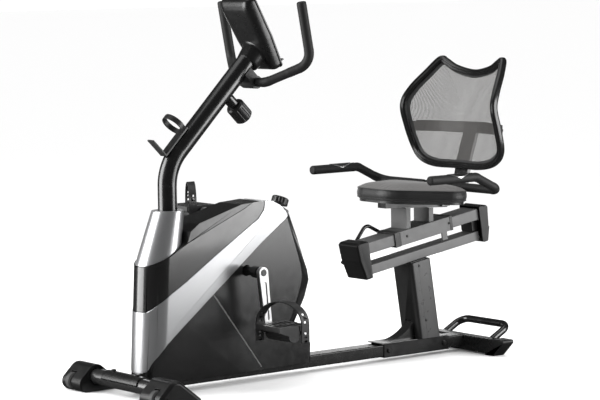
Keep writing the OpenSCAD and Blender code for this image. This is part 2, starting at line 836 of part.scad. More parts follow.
module pedal_spindles() color(bright_steel) at_crank() for (side = [-1, 1])
    rotate([0, side > 0 ? 180 : 0, 0]) mirror([0, side > 0 ? 0 : 1, 0]) {
        round_y(spindle_d, crank_y + 1, pedal_in + pedal_w - 12, 0, -crank_len);
        round_y(spindle_d + 8, crank_y + arm_t + slip, pedal_in - slip, 0, -crank_len);
    }

// Foot platform with slotted tread, side plates, weighted hub and strap lugs, with the spindle along Y
module pedal_body() difference() {
    union() {
        round_y(hub_d, 0, pedal_w, 0, hub_z);
        difference() {
            block([-pedal_l / 2, 0, tread_z], [pedal_l / 2, pedal_w, tread_z + tread_t]);
            for (i = [-2:2], k = [-1, 1])
                translate([i * pedal_l / 6, pedal_w / 2 + k * pedal_w / 4.6, tread_z - 1])
                    linear_extrude(tread_t + 2) square([pedal_l / 10, pedal_w / 3], center = true);
        }
        for (y = [0, pedal_w - side_t]) slab(y, y + side_t) polygon([
            [-pedal_l / 2, tread_z + 1], [-pedal_l / 2, tread_z - 8], [-hub_d / 2, hub_z],
            [hub_d / 2, hub_z], [pedal_l / 2, tread_z - 8], [pedal_l / 2, tread_z + 1]
        ]);
        for (x = [-pedal_l / 2, pedal_l / 2 - side_t])
            block([x, 0, tread_z - 8], [x + side_t, pedal_w, tread_z + 1]);
        strap_lug(strap_x0, -lug_t, 1);
        strap_lug(strap_x1, pedal_w - 1, pedal_w + lug_t);
    }
    round_y(spindle_d + 2 * run, -lug_t - 1, pedal_w - 11);
}
module strap_lug(x, y0, y1)
    block([x - strap_w / 2 - 3, y0, tread_z - 8], [x + strap_w / 2 + 3, y1, tread_z + tread_t]);
module at_pedal(side) at_crank() rotate([0, side > 0 ? 180 : 0, 0])
    translate([0, side * pedal_in, -crank_len]) rotate([0, crank_rest + (side > 0 ? 180 : 0), 0])
        mirror([0, side > 0 ? 0 : 1, 0]) children();
module pedal_left() color(black_plastic) at_pedal(-1) pedal_body();
module pedal_right() color(black_plastic) at_pedal(1) pedal_body();

// Toe strap: a flexible band that arches from the inner lug to the outer lug, with slots in both ends
module strap_body() {
    leg_top = tread_z + tread_t + 1;
    half = pedal_w / 2 + lug_t + slip;
    steps = 16;
    arch = [for (i = [0:steps]) let (a = 180 * i / steps) [-cos(a), leg_top + (strap_h - leg_top) * sin(a)]];
    profile = concat([[-1, tread_z - strap_tail]], arch, [[1, tread_z - strap_tail]]);
    last = len(profile) - 1;
    thick = [for (i = [0:last]) i > 0 && i < last ? strap_t : 0];
    slant = (strap_x1 - strap_x0) / (2 * half);
    multmatrix([
        [1, slant, 0, (strap_x0 + strap_x1) / 2],
        [0, 1, 0, pedal_w / 2],
        [0, 0, 1, 0],
        [0, 0, 0, 1]
    ]) difference() {
        translate([-strap_w / 2, 0, 0]) rotate([90, 0, 90]) linear_extrude(strap_w) polygon(concat(
            [for (i = [0:last]) [profile[i][0] * (half + strap_t), profile[i][1] + thick[i]]],
            [for (i = [last:-1:0]) [profile[i][0] * half, profile[i][1]]]
        ));
        for (side = [-1, 1], i = [0:2], z = [leg_top + 8 + 2 * slot_h * i, tread_z - 18 - 2 * slot_h * i])
            translate([0, side * half, z]) cube([slot_w, 30, slot_h], center = true);
    }
}
module strap_left() color(black_plastic) at_pedal(-1) strap_body();
module strap_right() color(black_plastic) at_pedal(1) strap_body();

module flywheel_axle() color(bright_steel) round_y(
    flywheel_axle_d, -bracket_in - bracket_t - 6, bracket_out + bracket_t + 2, flywheel_x, flywheel_z
);

// Cast rim on a thin web, with the small belt pulley on one side of the hub
module flywheel() color(bright_steel)
    translate([flywheel_x, 0, flywheel_z]) rotate([-90, 0, 0]) rotate_extrude() flywheel_profile();
module flywheel_profile() {
    bore = flywheel_axle_d / 2 + run;
    half = flywheel_w / 2;
    polygon([
        [bore, -bracket_in + air / 2], [18, -bracket_in + air / 2], [18, -8], [flywheel_r - 26, -8],
        [flywheel_r - 22, -half], [flywheel_r, -half], [flywheel_r, half], [flywheel_r - 22, half],
        [flywheel_r - 26, 8], [18, 8], [18, belt_y - flange_t], [pinion_r + belt_t, belt_y - flange_t],
        [pinion_r + belt_t, belt_y], [pinion_r, belt_y], [pinion_r, belt_y + belt_w],
        [pinion_r + belt_t, belt_y + belt_w], [pinion_r + belt_t, belt_y + belt_w + flange_t],
        [bore, belt_y + belt_w + flange_t]
    ]);
}

// Ribbed belt round both pulleys
module belt_loop(gap) hull() {
    translate([crank_x, crank_z]) circle(r = pulley_r + gap);
    translate([flywheel_x, flywheel_z]) circle(r = pinion_r + gap);
}
module drive_belt() color("#101010") slab(belt_y + 0.5, belt_y + belt_w - 0.5) difference() {
    belt_loop(belt_gap + belt_t);
    belt_loop(belt_gap);
}

// Magnet shoe that hangs over the flywheel rim on a pivot
module magnet_bracket() color(bright_steel) difference() {
    union() {
        translate([flywheel_x, magnet_half, flywheel_z]) rotate([90, 0, 0]) shoe_arc(95, 146);
        slab(-magnet_half, magnet_half) polygon([
            magnet_pin + [7, 0], magnet_pin + [-10, 5], magnet_pin + [-34, -6], magnet_pin + [-30, -14]
        ]);
        round_y(20, -magnet_half, magnet_half, magnet_pin[0], magnet_pin[1]);
    }
    round_y(magnet_pin_d + 2 * run, -40, 40, magnet_pin[0], magnet_pin[1]);
    round_y(2 * flywheel_r + 5, -40, 40, flywheel_x, flywheel_z);
}
module shoe_arc(from, to) rotate([0, 0, from]) rotate_extrude(angle = to - from)
    translate([flywheel_r + 3, 0]) square([8, 2 * magnet_half]);

// Sheathed cable from the knob to the brake lug
module tension_cable() color("#101010") {
    bent_rod([
        [crank_x + 155, 0, 505], [crank_x + 130, -16, 462], [crank_x + 20, -28, 430],
        [magnet_pin[0] + 8, -magnet_half - air - 8, magnet_pin[1] + 62]
    ], 5, 20);
    dial_seat() translate([0, 0, -46]) cylinder(d = 22, h = 36);
}

// Fluted knob with its shaft
module resistance_knob() color(black_plastic) dial_seat() difference() {
    union() {
        translate([0, 0, dial_base]) cylinder(d = dial_d, h = dial_h - 4);
        translate([0, 0, dial_base + dial_h - 4]) cylinder(d1 = dial_d, d2 = dial_d - 10, h = 4);
        translate([0, 0, -9.7]) cylinder(d = dial_shaft_d, h = dial_base + 10);
    }
    for (i = [0:9]) rotate(36 * i) translate([dial_d / 2 + 3, 0, dial_base + 5])
        cylinder(d = 12, h = dial_h);
}

// Mast

// Bent tube with the welded boss for the clamp knob and the cradle for the handlebar
module mast() color(black_steel) difference() {
    union() {
        bent_rod([[mast_x, 0, mast_foot_z], mast_turn, mast_end], mast_d, mast_bend);
        stick(knob_at, knob_at + (mast_d / 2 + boss_l) * mast_out, 36);
        on_mast(bar_at) {
            translate([-mast_d / 2 - 20, -32, -16]) cube([mast_d / 2 + 20, 64, 32]);
            round_y(bar_d + 16, -32, 32);
        }
    }
    bent_rod(
        [[mast_x, 0, mast_foot_z - 1], mast_turn, mast_end + mast_dir], mast_d - 2 * wall, mast_bend
    );
    stick(knob_at, knob_at + (mast_d / 2 + boss_l + 1) * mast_out, stud_d + 2 * run);
    round_y(bar_d + 2 * slip, -40, 40, bar_at[0], bar_at[2]);
}

// Long fluted clamp knob with its stud
module mast_knob() color(black_plastic) translate(knob_at) rotate([0, 90 + mast_lean, 0]) difference() {
    base = mast_d / 2 + boss_l + slip;
    rotate_extrude() polygon([
        [0, mast_d / 2 - 12], [stud_d / 2, mast_d / 2 - 12], [stud_d / 2, base], [knob_d / 2 - 4, base],
        [knob_d / 2, base + 6], [knob_d / 2, base + knob_l - 6], [knob_d / 2 - 6, base + knob_l],
        [0, base + knob_l]
    ]);
    for (i = [0:11]) rotate(30 * i) translate([knob_d / 2 + 2.5, 0, base + 10]) cylinder(d = 8, h = knob_l);
}

// Moulded bottle cage on the upper face of the mast: back strip, hoop and toe
module bottle_cage() color(black_plastic) on_mast(cage_at) difference() {
    hoop_x = -mast_d / 2 - bottle_d / 2 - 5;
    union() {
        translate([hoop_x, 0, 10]) cylinder(d = bottle_d + 6, h = 18);
        translate([hoop_x - bottle_d / 2 + 4, -16, -78]) cube([bottle_d - 2, 32, 5]);
        translate([-mast_d / 2 - 6, -16, -78]) cube([6, 32, 118]);
        translate([hoop_x - bottle_d / 2 + 4, -16, -78]) cube([5, 32, 20]);
    }
    translate([hoop_x, 0, -73]) cylinder(d = bottle_d, h = 200);
    translate([0, 0, -100]) cylinder(d = mast_d + 2 * slip, h = 200);
}

// Handlebar

module handlebar() color(black_steel) bent_tube([
    left_of(bar_tip), left_of(bar_knee), left_of(bar_inner), bar_inner, bar_knee, bar_tip
], bar_d, wall, bar_bend);

// Foam sleeves that follow the bend of the bar, closed at the tip
module handlebar_grips() color(foam) both_sides() difference() {
    into = unit(bar_inner - bar_knee);
    start = bar_knee + 78 * into;
    up = unit(bar_tip - bar_knee);
    bent_rod([start, bar_knee, bar_tip + 4 * up], grip_d, bar_bend);
    bent_rod([start + into, bar_knee, bar_tip + slip * up], bar_d + 2 * slip, bar_bend);
}

// Console

// Front view of the console, shrunk by d
module console_outline(d) offset(delta = -d) hull() {
    for (side = [-1, 1]) {
        translate([side * (console_w / 2 - 18), console_up - 18]) circle(r = 18);
        translate([side * (console_w / 2 - 22), -40]) circle(r = 18);
        translate([side * (console_w / 2 - 36), ledge_y - 12]) circle(r = 16);
    }
}

// Side view of the case: shallow behind the screen, deep round the end of the mast
module case_profile(d) offset(delta = -d) polygon([
    [console_up, -6 - slip], [console_up - 2, -22], [console_up - 14, -console_t + 6], [60, -console_t],
    [-4, -console_t - 4], [-34, -78], [-52, -86], [-124, -86], [-144, -74], [-156, -40], [-158, -6 - slip]
]);
module console_back() color(black_plastic) on_console() difference() {
    intersection() {
        translate([0, 0, -100]) linear_extrude(100) console_outline(0);
        side_extrude(console_w) case_profile(0);
    }
    intersection() {
        translate([0, 0, -100]) linear_extrude(101) console_outline(3);
        side_extrude(console_w) union() {
            case_profile(3);
            translate([-150, -12]) square([console_up + 147, 14]);
        }
    }
    mast_hole();
}
// Side outline [height, depth] carried across the width of the console
module side_extrude(width)
    rotate([90, 0, 90]) translate([0, 0, -width / 2]) linear_extrude(width) children();
module mast_hole() {
    from = mast_end - 80 * mast_dir - console_at;
    up = [-sin(console_tilt), 0, cos(console_tilt)];
    out = [cos(console_tilt), 0, sin(console_tilt)];
    to = mast_end + slip * mast_dir - console_at;
    stick([0, from * up, from * out], [0, to * up, to * out], mast_d + 2 * slip);
}
module console_front() color(black_plastic) on_console() difference() {
    union() {
        translate([0, 0, -6]) linear_extrude(6) console_outline(0);
        translate([-console_w / 2 + 22, ledge_y - 10, -1]) cube([console_w - 44, 5, 13]);
    }
    translate([-screen_w / 2 + 3, screen_y - screen_h / 2 + 3, -10]) cube([screen_w - 6, screen_h - 6, 20]);
    translate([-screen_w / 2 - slip, screen_y - screen_h / 2 - slip, -2.2 - slip])
        cube([screen_w + 2 * slip, screen_h + 2 * slip, 10]);
    for (side = [-1, 1]) translate([side * key_x, key_y, -10]) linear_extrude(20) key_outline(0.3);
}
module console_screen() color("#5b6a5e") on_console()
    translate([-screen_w / 2, screen_y - screen_h / 2, -2.2]) cube([screen_w, screen_h, 2]);
module key_outline(d) offset(r = 4 + d) square([key_w - 8, key_h - 8], center = true);
module key(side) on_console() translate([side * key_x, key_y, 0]) {
    translate([0, 0, -7]) linear_extrude(9) key_outline(0);
    translate([0, 0, -7.2]) linear_extrude(1) key_outline(2);
}
module mode_key() color(grey_plastic) key(-1);
module set_key() color(grey_plastic) key(1);

// Seat post and rails

// Part of space above a level
module above(z) translate([0, -500, z]) cube([3000, 1000, 2000]);

// Sleeve on the base rail, flange plate, gusset and the leaning post
module seat_post() color(black_steel) difference() {
    union() {
        block(
            [post_x - 151, -rail_w / 2 - slip - post_sleeve_t, rail_z - slip - post_sleeve_t],
            [post_x + 137, rail_w / 2 + slip + post_sleeve_t, plate_z]
        );
        block([post_x - 163, -rail_w / 2 - 8, plate_z], [post_x + 127, rail_w / 2 + 8, plate_z + plate_t]);
        slab(-gusset_half, gusset_half) difference() {
            translate([post_x - 6 - gusset_l, plate_z + plate_t]) square([gusset_l + 26, gusset_h]);
            translate([post_x - 6 - gusset_l, plate_z + plate_t + gusset_r]) circle(r = gusset_r);
        }
        intersection() {
            on_rail() block([-post_w / 2, -post_w / 2, -post_z], [post_w / 2, post_w / 2, 0]);
            above(plate_z + 1);
        }
    }
    block(
        [0, -rail_w / 2 - slip, rail_z - slip],
        [post_x + 400, rail_w / 2 + slip, rail_top + slip]
    );
    intersection() {
        on_rail() block(
            [wall - post_w / 2, wall - post_w / 2, -post_z], [post_w / 2 - wall, post_w / 2 - wall, 1]
        );
        above(plate_z + plate_t);
    }
    post_bolts() bolt_hole(8);
}

// Plan of the post cover, shrunk by d
module post_plan(d) offset(r = 10 - d) square([cover_l - 20, cover_w - 20], center = true);

// Two moulded shells round the post that meet at a groove
module post_covers() color(black_plastic) difference() {
    intersection() {
        on_rail() {
            translate([0, 0, -post_z]) linear_extrude(post_z - air) post_shells();
            for (side = [-1, 1], s = [-25, 12], n = [-60, -190]) translate([s, side * post_w / 2, n])
                rotate([-90 * side, 0, 0]) translate([0, 0, slip])
                    cylinder(d = 12, h = cover_w / 2 - post_w / 2 - 2);
        }
        above(plate_z + plate_t + slip);
    }
    slab(-gusset_half - slip, gusset_half + slip)
        translate([post_x - 14 - gusset_l, 0]) square([gusset_l + 34, plate_z + plate_t + gusset_h + slip]);
}
module post_shells() difference() {
    post_plan(0);
    post_plan(3);
    translate([cover_l / 3 - cover_l / 2, 0]) square([2 * slip, cover_w + 2], center = true);
}

module box_tube(s0, s1, half, n0, n1, thick) difference() {
    block([s0, -half, n0], [s1, half, n1]);
    block([s0 - 1, thick - half, n0 + thick], [s1 + 1, half - thick, n1 - thick]);
}
module seat_rails() color(grey_plastic) on_rail() {
    box_tube(rail_start, rail_end, lower_w / 2, 0, lower_h, wall);
    box_tube(rail_start, rail_end, upper_w / 2, upper_n, upper_top, wall);
}

// Room for both rails where they enter an end cap
module rail_pockets(s0, s1) {
    block([s0, -lower_w / 2 - slip, -slip], [s1, lower_w / 2 + slip, lower_h + slip]);
    block([s0, -upper_w / 2 - slip, upper_n - slip], [s1, upper_w / 2 + slip, upper_top + slip]);
}
module rail_cap_front() color(black_plastic) on_rail() difference() {
    slab(-upper_w / 2 - cap_wall, upper_w / 2 + cap_wall) offset(r = 6) offset(delta = -6) polygon([
        [rail_start - 28, upper_top + 2], [rail_start - 24, upper_n - 12], [rail_start - 6, -8],
        [rail_start + cap_lap, -8], [rail_start + cap_lap, upper_top + 8], [rail_start - 18, upper_top + 8]
    ]);
    rail_pockets(rail_start - slip, rail_start + cap_lap + 1);
}
module rail_cap_rear() color(black_plastic) on_rail() difference() {
    union() {
        slab(-upper_w / 2 - cap_wall, upper_w / 2 + cap_wall) offset(r = 6) offset(delta = -6) polygon([
            [rail_end - 15, -6], [rail_end - 15, upper_top + 8], [rail_end + 16, upper_top + 8],
            [rail_end + 23, upper_top], [rail_end + 21, upper_n - 30], [rail_end + 8, -6]
        ]);
        block(
            [rail_end - 38, -lower_w / 2 + 2, lower_h + slip],
            [rail_end - 14, lower_w / 2 - 2, upper_n - slip]
        );
    }
    rail_pockets(rail_end - 16, rail_end + slip);
}

// Seat carriage

// Sliding sleeve with the clamp lug under it and the stud for the lever
module carriage_sleeve() color(grey_plastic) on_rail() {
    box_tube(sleeve_start, sleeve_end, sleeve_half, sleeve_low, sleeve_top, sleeve_t);
    block([110, -sleeve_half, sleeve_low - 26], [134, -sleeve_half + 6, sleeve_low]);
    round_y(lever_pin_d, sleeve_half, lever_y + lever_hub_w / 2 + 2, lever_s, lever_n);
    round_y(18, lever_y + lever_hub_w / 2 + slip, lever_y + lever_hub_w / 2 + 4, lever_s, lever_n);
}

// Plastic slide bushings with a flange outside each end of the sleeve
module bushing(flange) {
    difference() {
        union() {
            block(
                [-bush_l, -sleeve_half + sleeve_t + slip, sleeve_low + sleeve_t + slip],
                [1, sleeve_half - sleeve_t - slip, sleeve_top - sleeve_t - slip]
            );
            block([slip, -sleeve_half, sleeve_low - 1], [flange, sleeve_half, sleeve_top + 1]);
        }
        block(
            [-bush_l - 1, -upper_w / 2 - slip, upper_n - slip],
            [flange + 1, upper_w / 2 + slip, upper_top + slip]
        );
    }
}
module carriage_bushings() color(black_plastic) on_rail() {
    translate([sleeve_end, 0, 0]) bushing(12);
    translate([sleeve_start, 0, 0]) mirror([1, 0, 0]) bushing(24);
}

// Bent lever rod with a hub on the carriage stud and a soft grip
module seat_lever() color(black_steel) on_rail() difference() {
    knee = [lever_s - 76, lever_y, lever_n + 54];
    tip = [knee[0] - 114, lever_y, knee[2] - 103];
    start = [lever_s, lever_y, lever_n] + 8 * unit(knee - [lever_s, lever_y, lever_n]);
    union() {
        round_y(24, lever_y - lever_hub_w / 2, lever_y + lever_hub_w / 2, lever_s, lever_n);
        bent_rod([start, knee, tip], 12, 24);
        stick(tip + 50 * unit(knee - tip), tip - 4 * unit(knee - tip), 20);
    }
    round_y(lever_pin_d + 2 * run, 0, 200, lever_s, lever_n);
}

// Seat

// Space over the carriage and under the seat tube
module under_seat() intersection() {
    on_rail() block([-300, -200, sleeve_top], [400, 200, 400]);
    on_seat() block([-300, -200, -200], [400, 200, -seat_tube_h + 1]);
    children();
}
// Open channel that stands on the carriage
module seat_bracket(x) under_seat() difference() {
    block([x, -seat_bracket_w / 2, 300], [x + 20, seat_bracket_w / 2, 700]);
    block([x + 4, -seat_bracket_w / 2 + 4, 300], [x + 21, seat_bracket_w / 2 - 4, 700]);
}

module seat_frame() color(black_steel) difference() {
    union() {
        on_seat() difference() {
            block([-95, -seat_tube_w / 2, -seat_tube_h], [180, seat_tube_w / 2, 0]);
            block([-85, wall - seat_tube_w / 2, wall - seat_tube_h], [181, seat_tube_w / 2 - wall, -wall]);
        }
        seat_bracket(seat_x - 22);
        seat_bracket(seat_x + 79);
        block([side_x - 14, -upright_w / 2, seat_z - 24], [side_x + 22, upright_w / 2, side_low_z]);
        upright();
        cross_bar();
    }
    round_y(bar_d + 2 * slip, -100, 100, side_x, side_low_z);
    bow_bolts() bolt_hole(6);
}

// Flat bar bent up from the seat frame to the back of the backrest
module upright() {
    points = [
        [side_x + 10, side_low_z - 23], [back_x + 9, side_low_z - 15],
        [back_x + 30, back_z + 30], [back_x + 64, back_z + 128], [back_x + 68, back_z + 146]
    ];
    for (i = [0:len(points) - 2]) slab(-upright_w / 2, upright_w / 2) hull() {
        translate(points[i]) circle(d = upright_t);
        translate(points[i + 1]) circle(d = upright_t);
    }
}

// Bowed flat bar that carries both sides of the backrest
module bow(r, t, from, to, tall) translate([bow_x, 0, bow_z - tall / 2]) rotate([0, 0, from])
    rotate_extrude(angle = to - from) translate([r, 0]) square([t, tall]);
module cross_bar() bow(bow_r, 8, -bow_angle, bow_angle, 38);

// Plan of the seat, shrunk by d, as circles
function seat_circles(d) = [for (side = [-1, 1], c = [[seat_front, seat_front_r], [seat_rear, seat_rear_r]])
    [c[0][0], side * c[0][1], c[1] - d]];

module seat_pan() color(black_plastic) on_seat() translate([0, 0, slip]) linear_extrude(pan_t) hull()
    for (c = seat_circles(10)) translate([c[0], c[1]]) circle(r = c[2]);

// Upholstered cushion: tucked lower edge, side band, seam and a crowned top panel, each ring given by its
// inset and its share of the height
module seat_cushion() color(vinyl) on_seat() translate([0, 0, pan_t + 2 * slip]) loft([
    for (step = [
        [9, 0], [2.5, 0.07], [5, 0.14], [0.5, 0.22], [0, 0.42], [2, 0.6], [6, 0.66], [4, 0.71], [9, 0.8],
        [20, 0.88], [38, 0.94], [60, 0.97]
    ]) [for (p = rounded(seat_circles(step[0]), 48)) [p[0], p[1], step[1] * cushion_t]]
]);

module side_handle() color(black_steel) bent_tube(
    concat([for (p = side_path) left_of(p)], [side_path[2], side_path[1], side_path[0]]), bar_d, wall, 38
);
module side_grips() color(foam) both_sides() difference() {
    stick([side_tip_x - 4, side_half, side_z], [grip_end_x, side_half, side_z], grip_d);
    stick([side_tip_x - slip, side_half, side_z], [grip_end_x + 1, side_half, side_z], bar_d + 2 * slip);
}

// Chevron contact plates wrapped over the top of each side grip
module pulse_plates() color(bright_steel) both_sides()
    translate([side_tip_x + 70, side_half, side_z]) pulse_plate();
module pulse_plate() intersection() {
    rotate([0, 90, 0]) difference() {
        cylinder(d = grip_d + 2 * slip + 2, h = 120);
        translate([0, 0, -1]) cylinder(d = grip_d + 2 * slip, h = 122);
    }
    linear_extrude(grip_d) polygon([[0, -20], [24, 0], [0, 20], [72, 20], [96, 0], [72, -20]]);
}

// Backrest

// Half of the rim's centre line, as shares of its half width, height and wing reach
back_half_points = [
    [0, 0, 0], [0.5, 0, 0], [0.8, 0.05, 0.05], [0.95, 0.16, 0.19], [1, 0.37, 0.63], [0.996, 0.57, 1],
    [0.93, 0.72, 0.88], [0.8, 0.88, 0.52], [0.68, 1, 0.26], [0.59, 0.985, 0.2], [0.38, 0.92, 0.08],
    [0, 0.88, 0]
];
back_points = concat(
    back_half_points,
    [for (i = [len(back_half_points) - 2:-1:1]) let (p = back_half_points[i]) [-p[0], p[1], p[2]]]
);
function back_place(p) = [
    back_x + p[1] * back_h * tan(back_lean) - p[2] * wing,
    p[0] * (back_half - back_rim / 2),
    back_z + back_rim / 2 + p[1] * (back_h - back_rim)
];
back_steps = 3;
back_line = [for (i = [0:len(back_points) - 1], k = [0:back_steps - 1])
    back_place(smooth(back_points, i, k / back_steps))];
function back_along(i) = unit(knot(back_line, i + 1) - knot(back_line, i - 1));
function back_side(i) = unit(cross(back_along(i), [1, 0, 0]));
function back_depth_way(i) = cross(back_side(i), back_along(i));

// Closed ring of oval sections along the rim
module backrest_frame() color(black_plastic) {
    sides = 8;
    n = len(back_line);
    points = [for (i = [0:n - 1], k = [0:sides - 1]) back_line[i]
        + back_rim / 2 * cos(360 * k / sides) * back_side(i)
        + back_depth / 2 * sin(360 * k / sides) * back_depth_way(i)];
    faces = [for (i = [0:n - 1], k = [0:sides - 1]) each
        let (j = (i + 1) % n, m = (k + 1) % sides) [
            [i * sides + k, j * sides + m, j * sides + k],
            [i * sides + k, i * sides + m, j * sides + m]
        ]];
    polyhedron(points, faces);
    both_sides() bow(bow_r - 8 - slip, 8, bow_angle - 5, bow_angle + 2.2, 30);
}

// Point of the net: share k of the way from the middle to the rim point p, moved back by dx
net_mid_z = back_z + 0.45 * back_h;
function lean_x(z) = back_x + (z - back_z) * tan(back_lean);
function net_point(p, k, dx) =
    let (z = net_mid_z + k * (p[2] - net_mid_z), reach = lean_x(p[2]) - p[0])
    [lean_x(z) - reach * k * k + dx, k * p[1], z];
net_edge = [for (i = [0:len(back_line) - 1]) back_line[i] - (back_rim / 2 + slip) * back_side(i)];

// Stretched net, dished between the wings, held inside the rim
module backrest_mesh() color(net) {
    shares = [0.15, 0.4, 0.6, 0.8, 1];
    loft(concat(
        [for (k = shares) [for (p = net_edge) net_point(p, k, -net_t / 2)]],
        [for (i = [len(shares) - 1:-1:0]) [for (p = net_edge) net_point(p, shares[i], net_t / 2)]]
    ));
}

// Fasteners

// Round-headed bolt: head above the surface, short shank below it
module bolt(d, shank) {
    cylinder(d = 2 * d, h = 0.4 * d);
    translate([0, 0, 0.4 * d]) cylinder(d1 = 2 * d, d2 = 1.2 * d, h = 0.25 * d);
    translate([0, 0, -shank]) cylinder(d = d, h = shank);
}
module bolt_hole(d) translate([0, 0, -12]) cylinder(d = d + 2 * slip, h = 13);
module saddle_bolts() for (y = [-65, 65])
    translate([0, y, front_tube_z + front_tube_d / 2 + slip + saddle_t]) children();
module post_bolts() for (side = [-1, 1], x = [-130, 115])
    translate([post_x + x, side * (rail_w / 2 + slip + post_sleeve_t), rail_z + rail_h / 2])
        rotate([-90 * side, 0, 0]) children();
module frame_bolts() color(bright_steel) {
    saddle_bolts() bolt(8, saddle_t);
    post_bolts() bolt(8, post_sleeve_t);
}
module bow_bolts() for (side = [-1, 1]) translate([bow_x, 0, bow_z]) rotate([0, 0, side * (bow_angle - 2.5)])
    translate([bow_r + 8, 0, 0]) rotate([0, 90, 0]) children();
module seat_bolts() color(bright_steel) bow_bolts() bolt(6, 8);

place() base_rail();
place() front_cross_tube();
place() front_caps();
place() wheel_axles();
place() transport_wheel_left();
place() transport_wheel_right();
place() rear_cross_tube();
place() rear_caps();
place() rear_lift_handle();
place() drive_frame();
place() cover_left();
place() cover_right();
place() silver_shroud();
place() dark_band();
place() neck_collar();
place() crank_bearings();
place() crank_axle();
place() crank_pulley();
place() crank_arm_left();
place() crank_arm_right();
place() pedal_spindles();
place() pedal_left();
place() pedal_right();
place() strap_left();
place() strap_right();
place() flywheel_bracket();
place() flywheel_axle();
place() flywheel();
place() drive_belt();
place() magnet_bracket();
place() tension_cable();
place() resistance_knob();
place() mast();
place() mast_knob();
place() bottle_cage();
place() handlebar();
place() handlebar_grips();
place() console_back();
place() console_front();
place() console_screen();
place() mode_key();
place() set_key();
place() seat_post();
place() post_covers();
place() seat_rails();
place() rail_cap_front();
place() rail_cap_rear();
place() frame_bolts();
place() carriage_sleeve();
place() carriage_bushings();
place() seat_lever();
place() seat_frame();
place() seat_pan();
place() seat_cushion();
place() side_handle();
place() side_grips();
place() pulse_plates();
place() backrest_frame();
place() backrest_mesh();
place() seat_bolts();
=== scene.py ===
import json
import math
import bmesh
import bpy
from mathutils import Matrix, Vector
from mathutils.bvhtree import BVHTree


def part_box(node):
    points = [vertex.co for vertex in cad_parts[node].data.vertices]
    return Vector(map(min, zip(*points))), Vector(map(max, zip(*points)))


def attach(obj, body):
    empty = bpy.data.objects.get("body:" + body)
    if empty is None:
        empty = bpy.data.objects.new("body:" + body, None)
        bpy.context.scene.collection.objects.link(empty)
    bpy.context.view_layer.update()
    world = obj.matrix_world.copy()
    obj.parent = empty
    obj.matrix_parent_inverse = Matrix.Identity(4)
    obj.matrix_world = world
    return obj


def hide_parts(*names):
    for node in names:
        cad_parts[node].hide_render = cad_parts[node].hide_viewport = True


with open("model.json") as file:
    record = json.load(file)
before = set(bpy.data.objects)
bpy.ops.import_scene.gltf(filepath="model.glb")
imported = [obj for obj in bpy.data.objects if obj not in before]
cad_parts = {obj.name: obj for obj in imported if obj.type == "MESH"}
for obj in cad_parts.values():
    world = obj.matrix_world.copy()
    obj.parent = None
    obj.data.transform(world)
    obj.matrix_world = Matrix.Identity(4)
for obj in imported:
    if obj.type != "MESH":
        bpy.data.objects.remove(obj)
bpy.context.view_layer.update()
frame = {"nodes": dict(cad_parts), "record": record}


# Steel base: the box-section spine, round front foot tube, square rear foot tube and lift handle.
# They are welded from mild steel tube and powder coated gloss black, so the corners are round and the coat
# has a faint orange peel.
def add_node(tree, kind, inputs=None, **settings):
    made = tree.nodes.new(kind)
    for key, value in settings.items():
        setattr(made, key, value)
    for socket, value in (inputs or {}).items():
        if isinstance(value, bpy.types.NodeSocket):
            tree.links.new(value, made.inputs[socket])
        else:
            made.inputs[socket].default_value = value
    return made


def grey(value, warmth=0.0):
    return (value * (1 + warmth), value, value * (1 - warmth), 1)


def object_place(tree):
    return add_node(tree, "ShaderNodeTexCoord").outputs["Object"]


def clouds(tree, place, scale, detail):
    inputs = {"Vector": place, "Scale": scale, "Detail": detail}
    return add_node(tree, "ShaderNodeTexNoise", inputs).outputs["Fac"]


def maths(tree, operation, first, second):
    return add_node(tree, "ShaderNodeMath", {0: first, 1: second}, operation=operation).outputs["Value"]


def mixed(tree, share, low, high):
    inputs = {"Factor": share, "A": low, "B": high}
    return add_node(tree, "ShaderNodeMix", inputs, data_type="RGBA").outputs["Result"]


def spread(tree, value, low, high, start=0.0, end=1.0):
    inputs = {"Value": value, "From Min": start, "From Max": end, "To Min": low, "To Max": high}
    return add_node(tree, "ShaderNodeMapRange", inputs).outputs["Result"]


def make_moulded_skin():
    group = bpy.data.node_groups.new("moulded skin", "ShaderNodeTree")
    inputs = {
        "Low": ("NodeSocketColor", grey(0.02)),
        "High": ("NodeSocketColor", grey(0.03)),
        "Grain": ("NodeSocketFloat", 900.0),
        "Rough Low": ("NodeSocketFloat", 0.4),
        "Rough High": ("NodeSocketFloat", 0.5),
        "Rub": ("NodeSocketFloat", 0.1),
    }
    outputs = {"Color": "NodeSocketColor", "Roughness": "NodeSocketFloat", "Height": "NodeSocketFloat"}
    for socket, (kind, value) in inputs.items():
        group.interface.new_socket(socket, in_out="INPUT", socket_type=kind).default_value = value
    for socket, kind in outputs.items():
        group.interface.new_socket(socket, in_out="OUTPUT", socket_type=kind)
    given = group.nodes.new("NodeGroupInput").outputs
    result = group.nodes.new("NodeGroupOutput").inputs
    place = object_place(group)
    tone = mixed(group, clouds(group, place, scale=9.0, detail=4.0), given["Low"], given["High"])
    corner = add_node(group, "ShaderNodeNewGeometry").outputs["Pointiness"]
    worn = spread(group, corner, low=0.0, high=1.0, start=0.53, end=0.64)
    rub = maths(group, "MULTIPLY", worn, given["Rub"])
    rubbed_tone = grey(0.4)
    haze = clouds(group, place, scale=41.0, detail=3.0)
    rough = spread(group, haze, given["Rough Low"], given["Rough High"], start=0.3, end=0.7)
    group.links.new(mixed(group, rub, tone, rubbed_tone), result["Color"])
    group.links.new(rough, result["Roughness"])
    group.links.new(clouds(group, place, scale=given["Grain"], detail=2.0), result["Height"])
    return group


moulded_skin = make_moulded_skin()
skin_depth = 0.0006


def new_finish(name, sockets=None):
    finish = bpy.data.materials.new(name)
    finish.use_nodes = True
    shader = finish.node_tree.nodes["Principled BSDF"]
    for socket, value in (sockets or {}).items():
        shader.inputs[socket].default_value = value
    return finish, finish.node_tree, shader


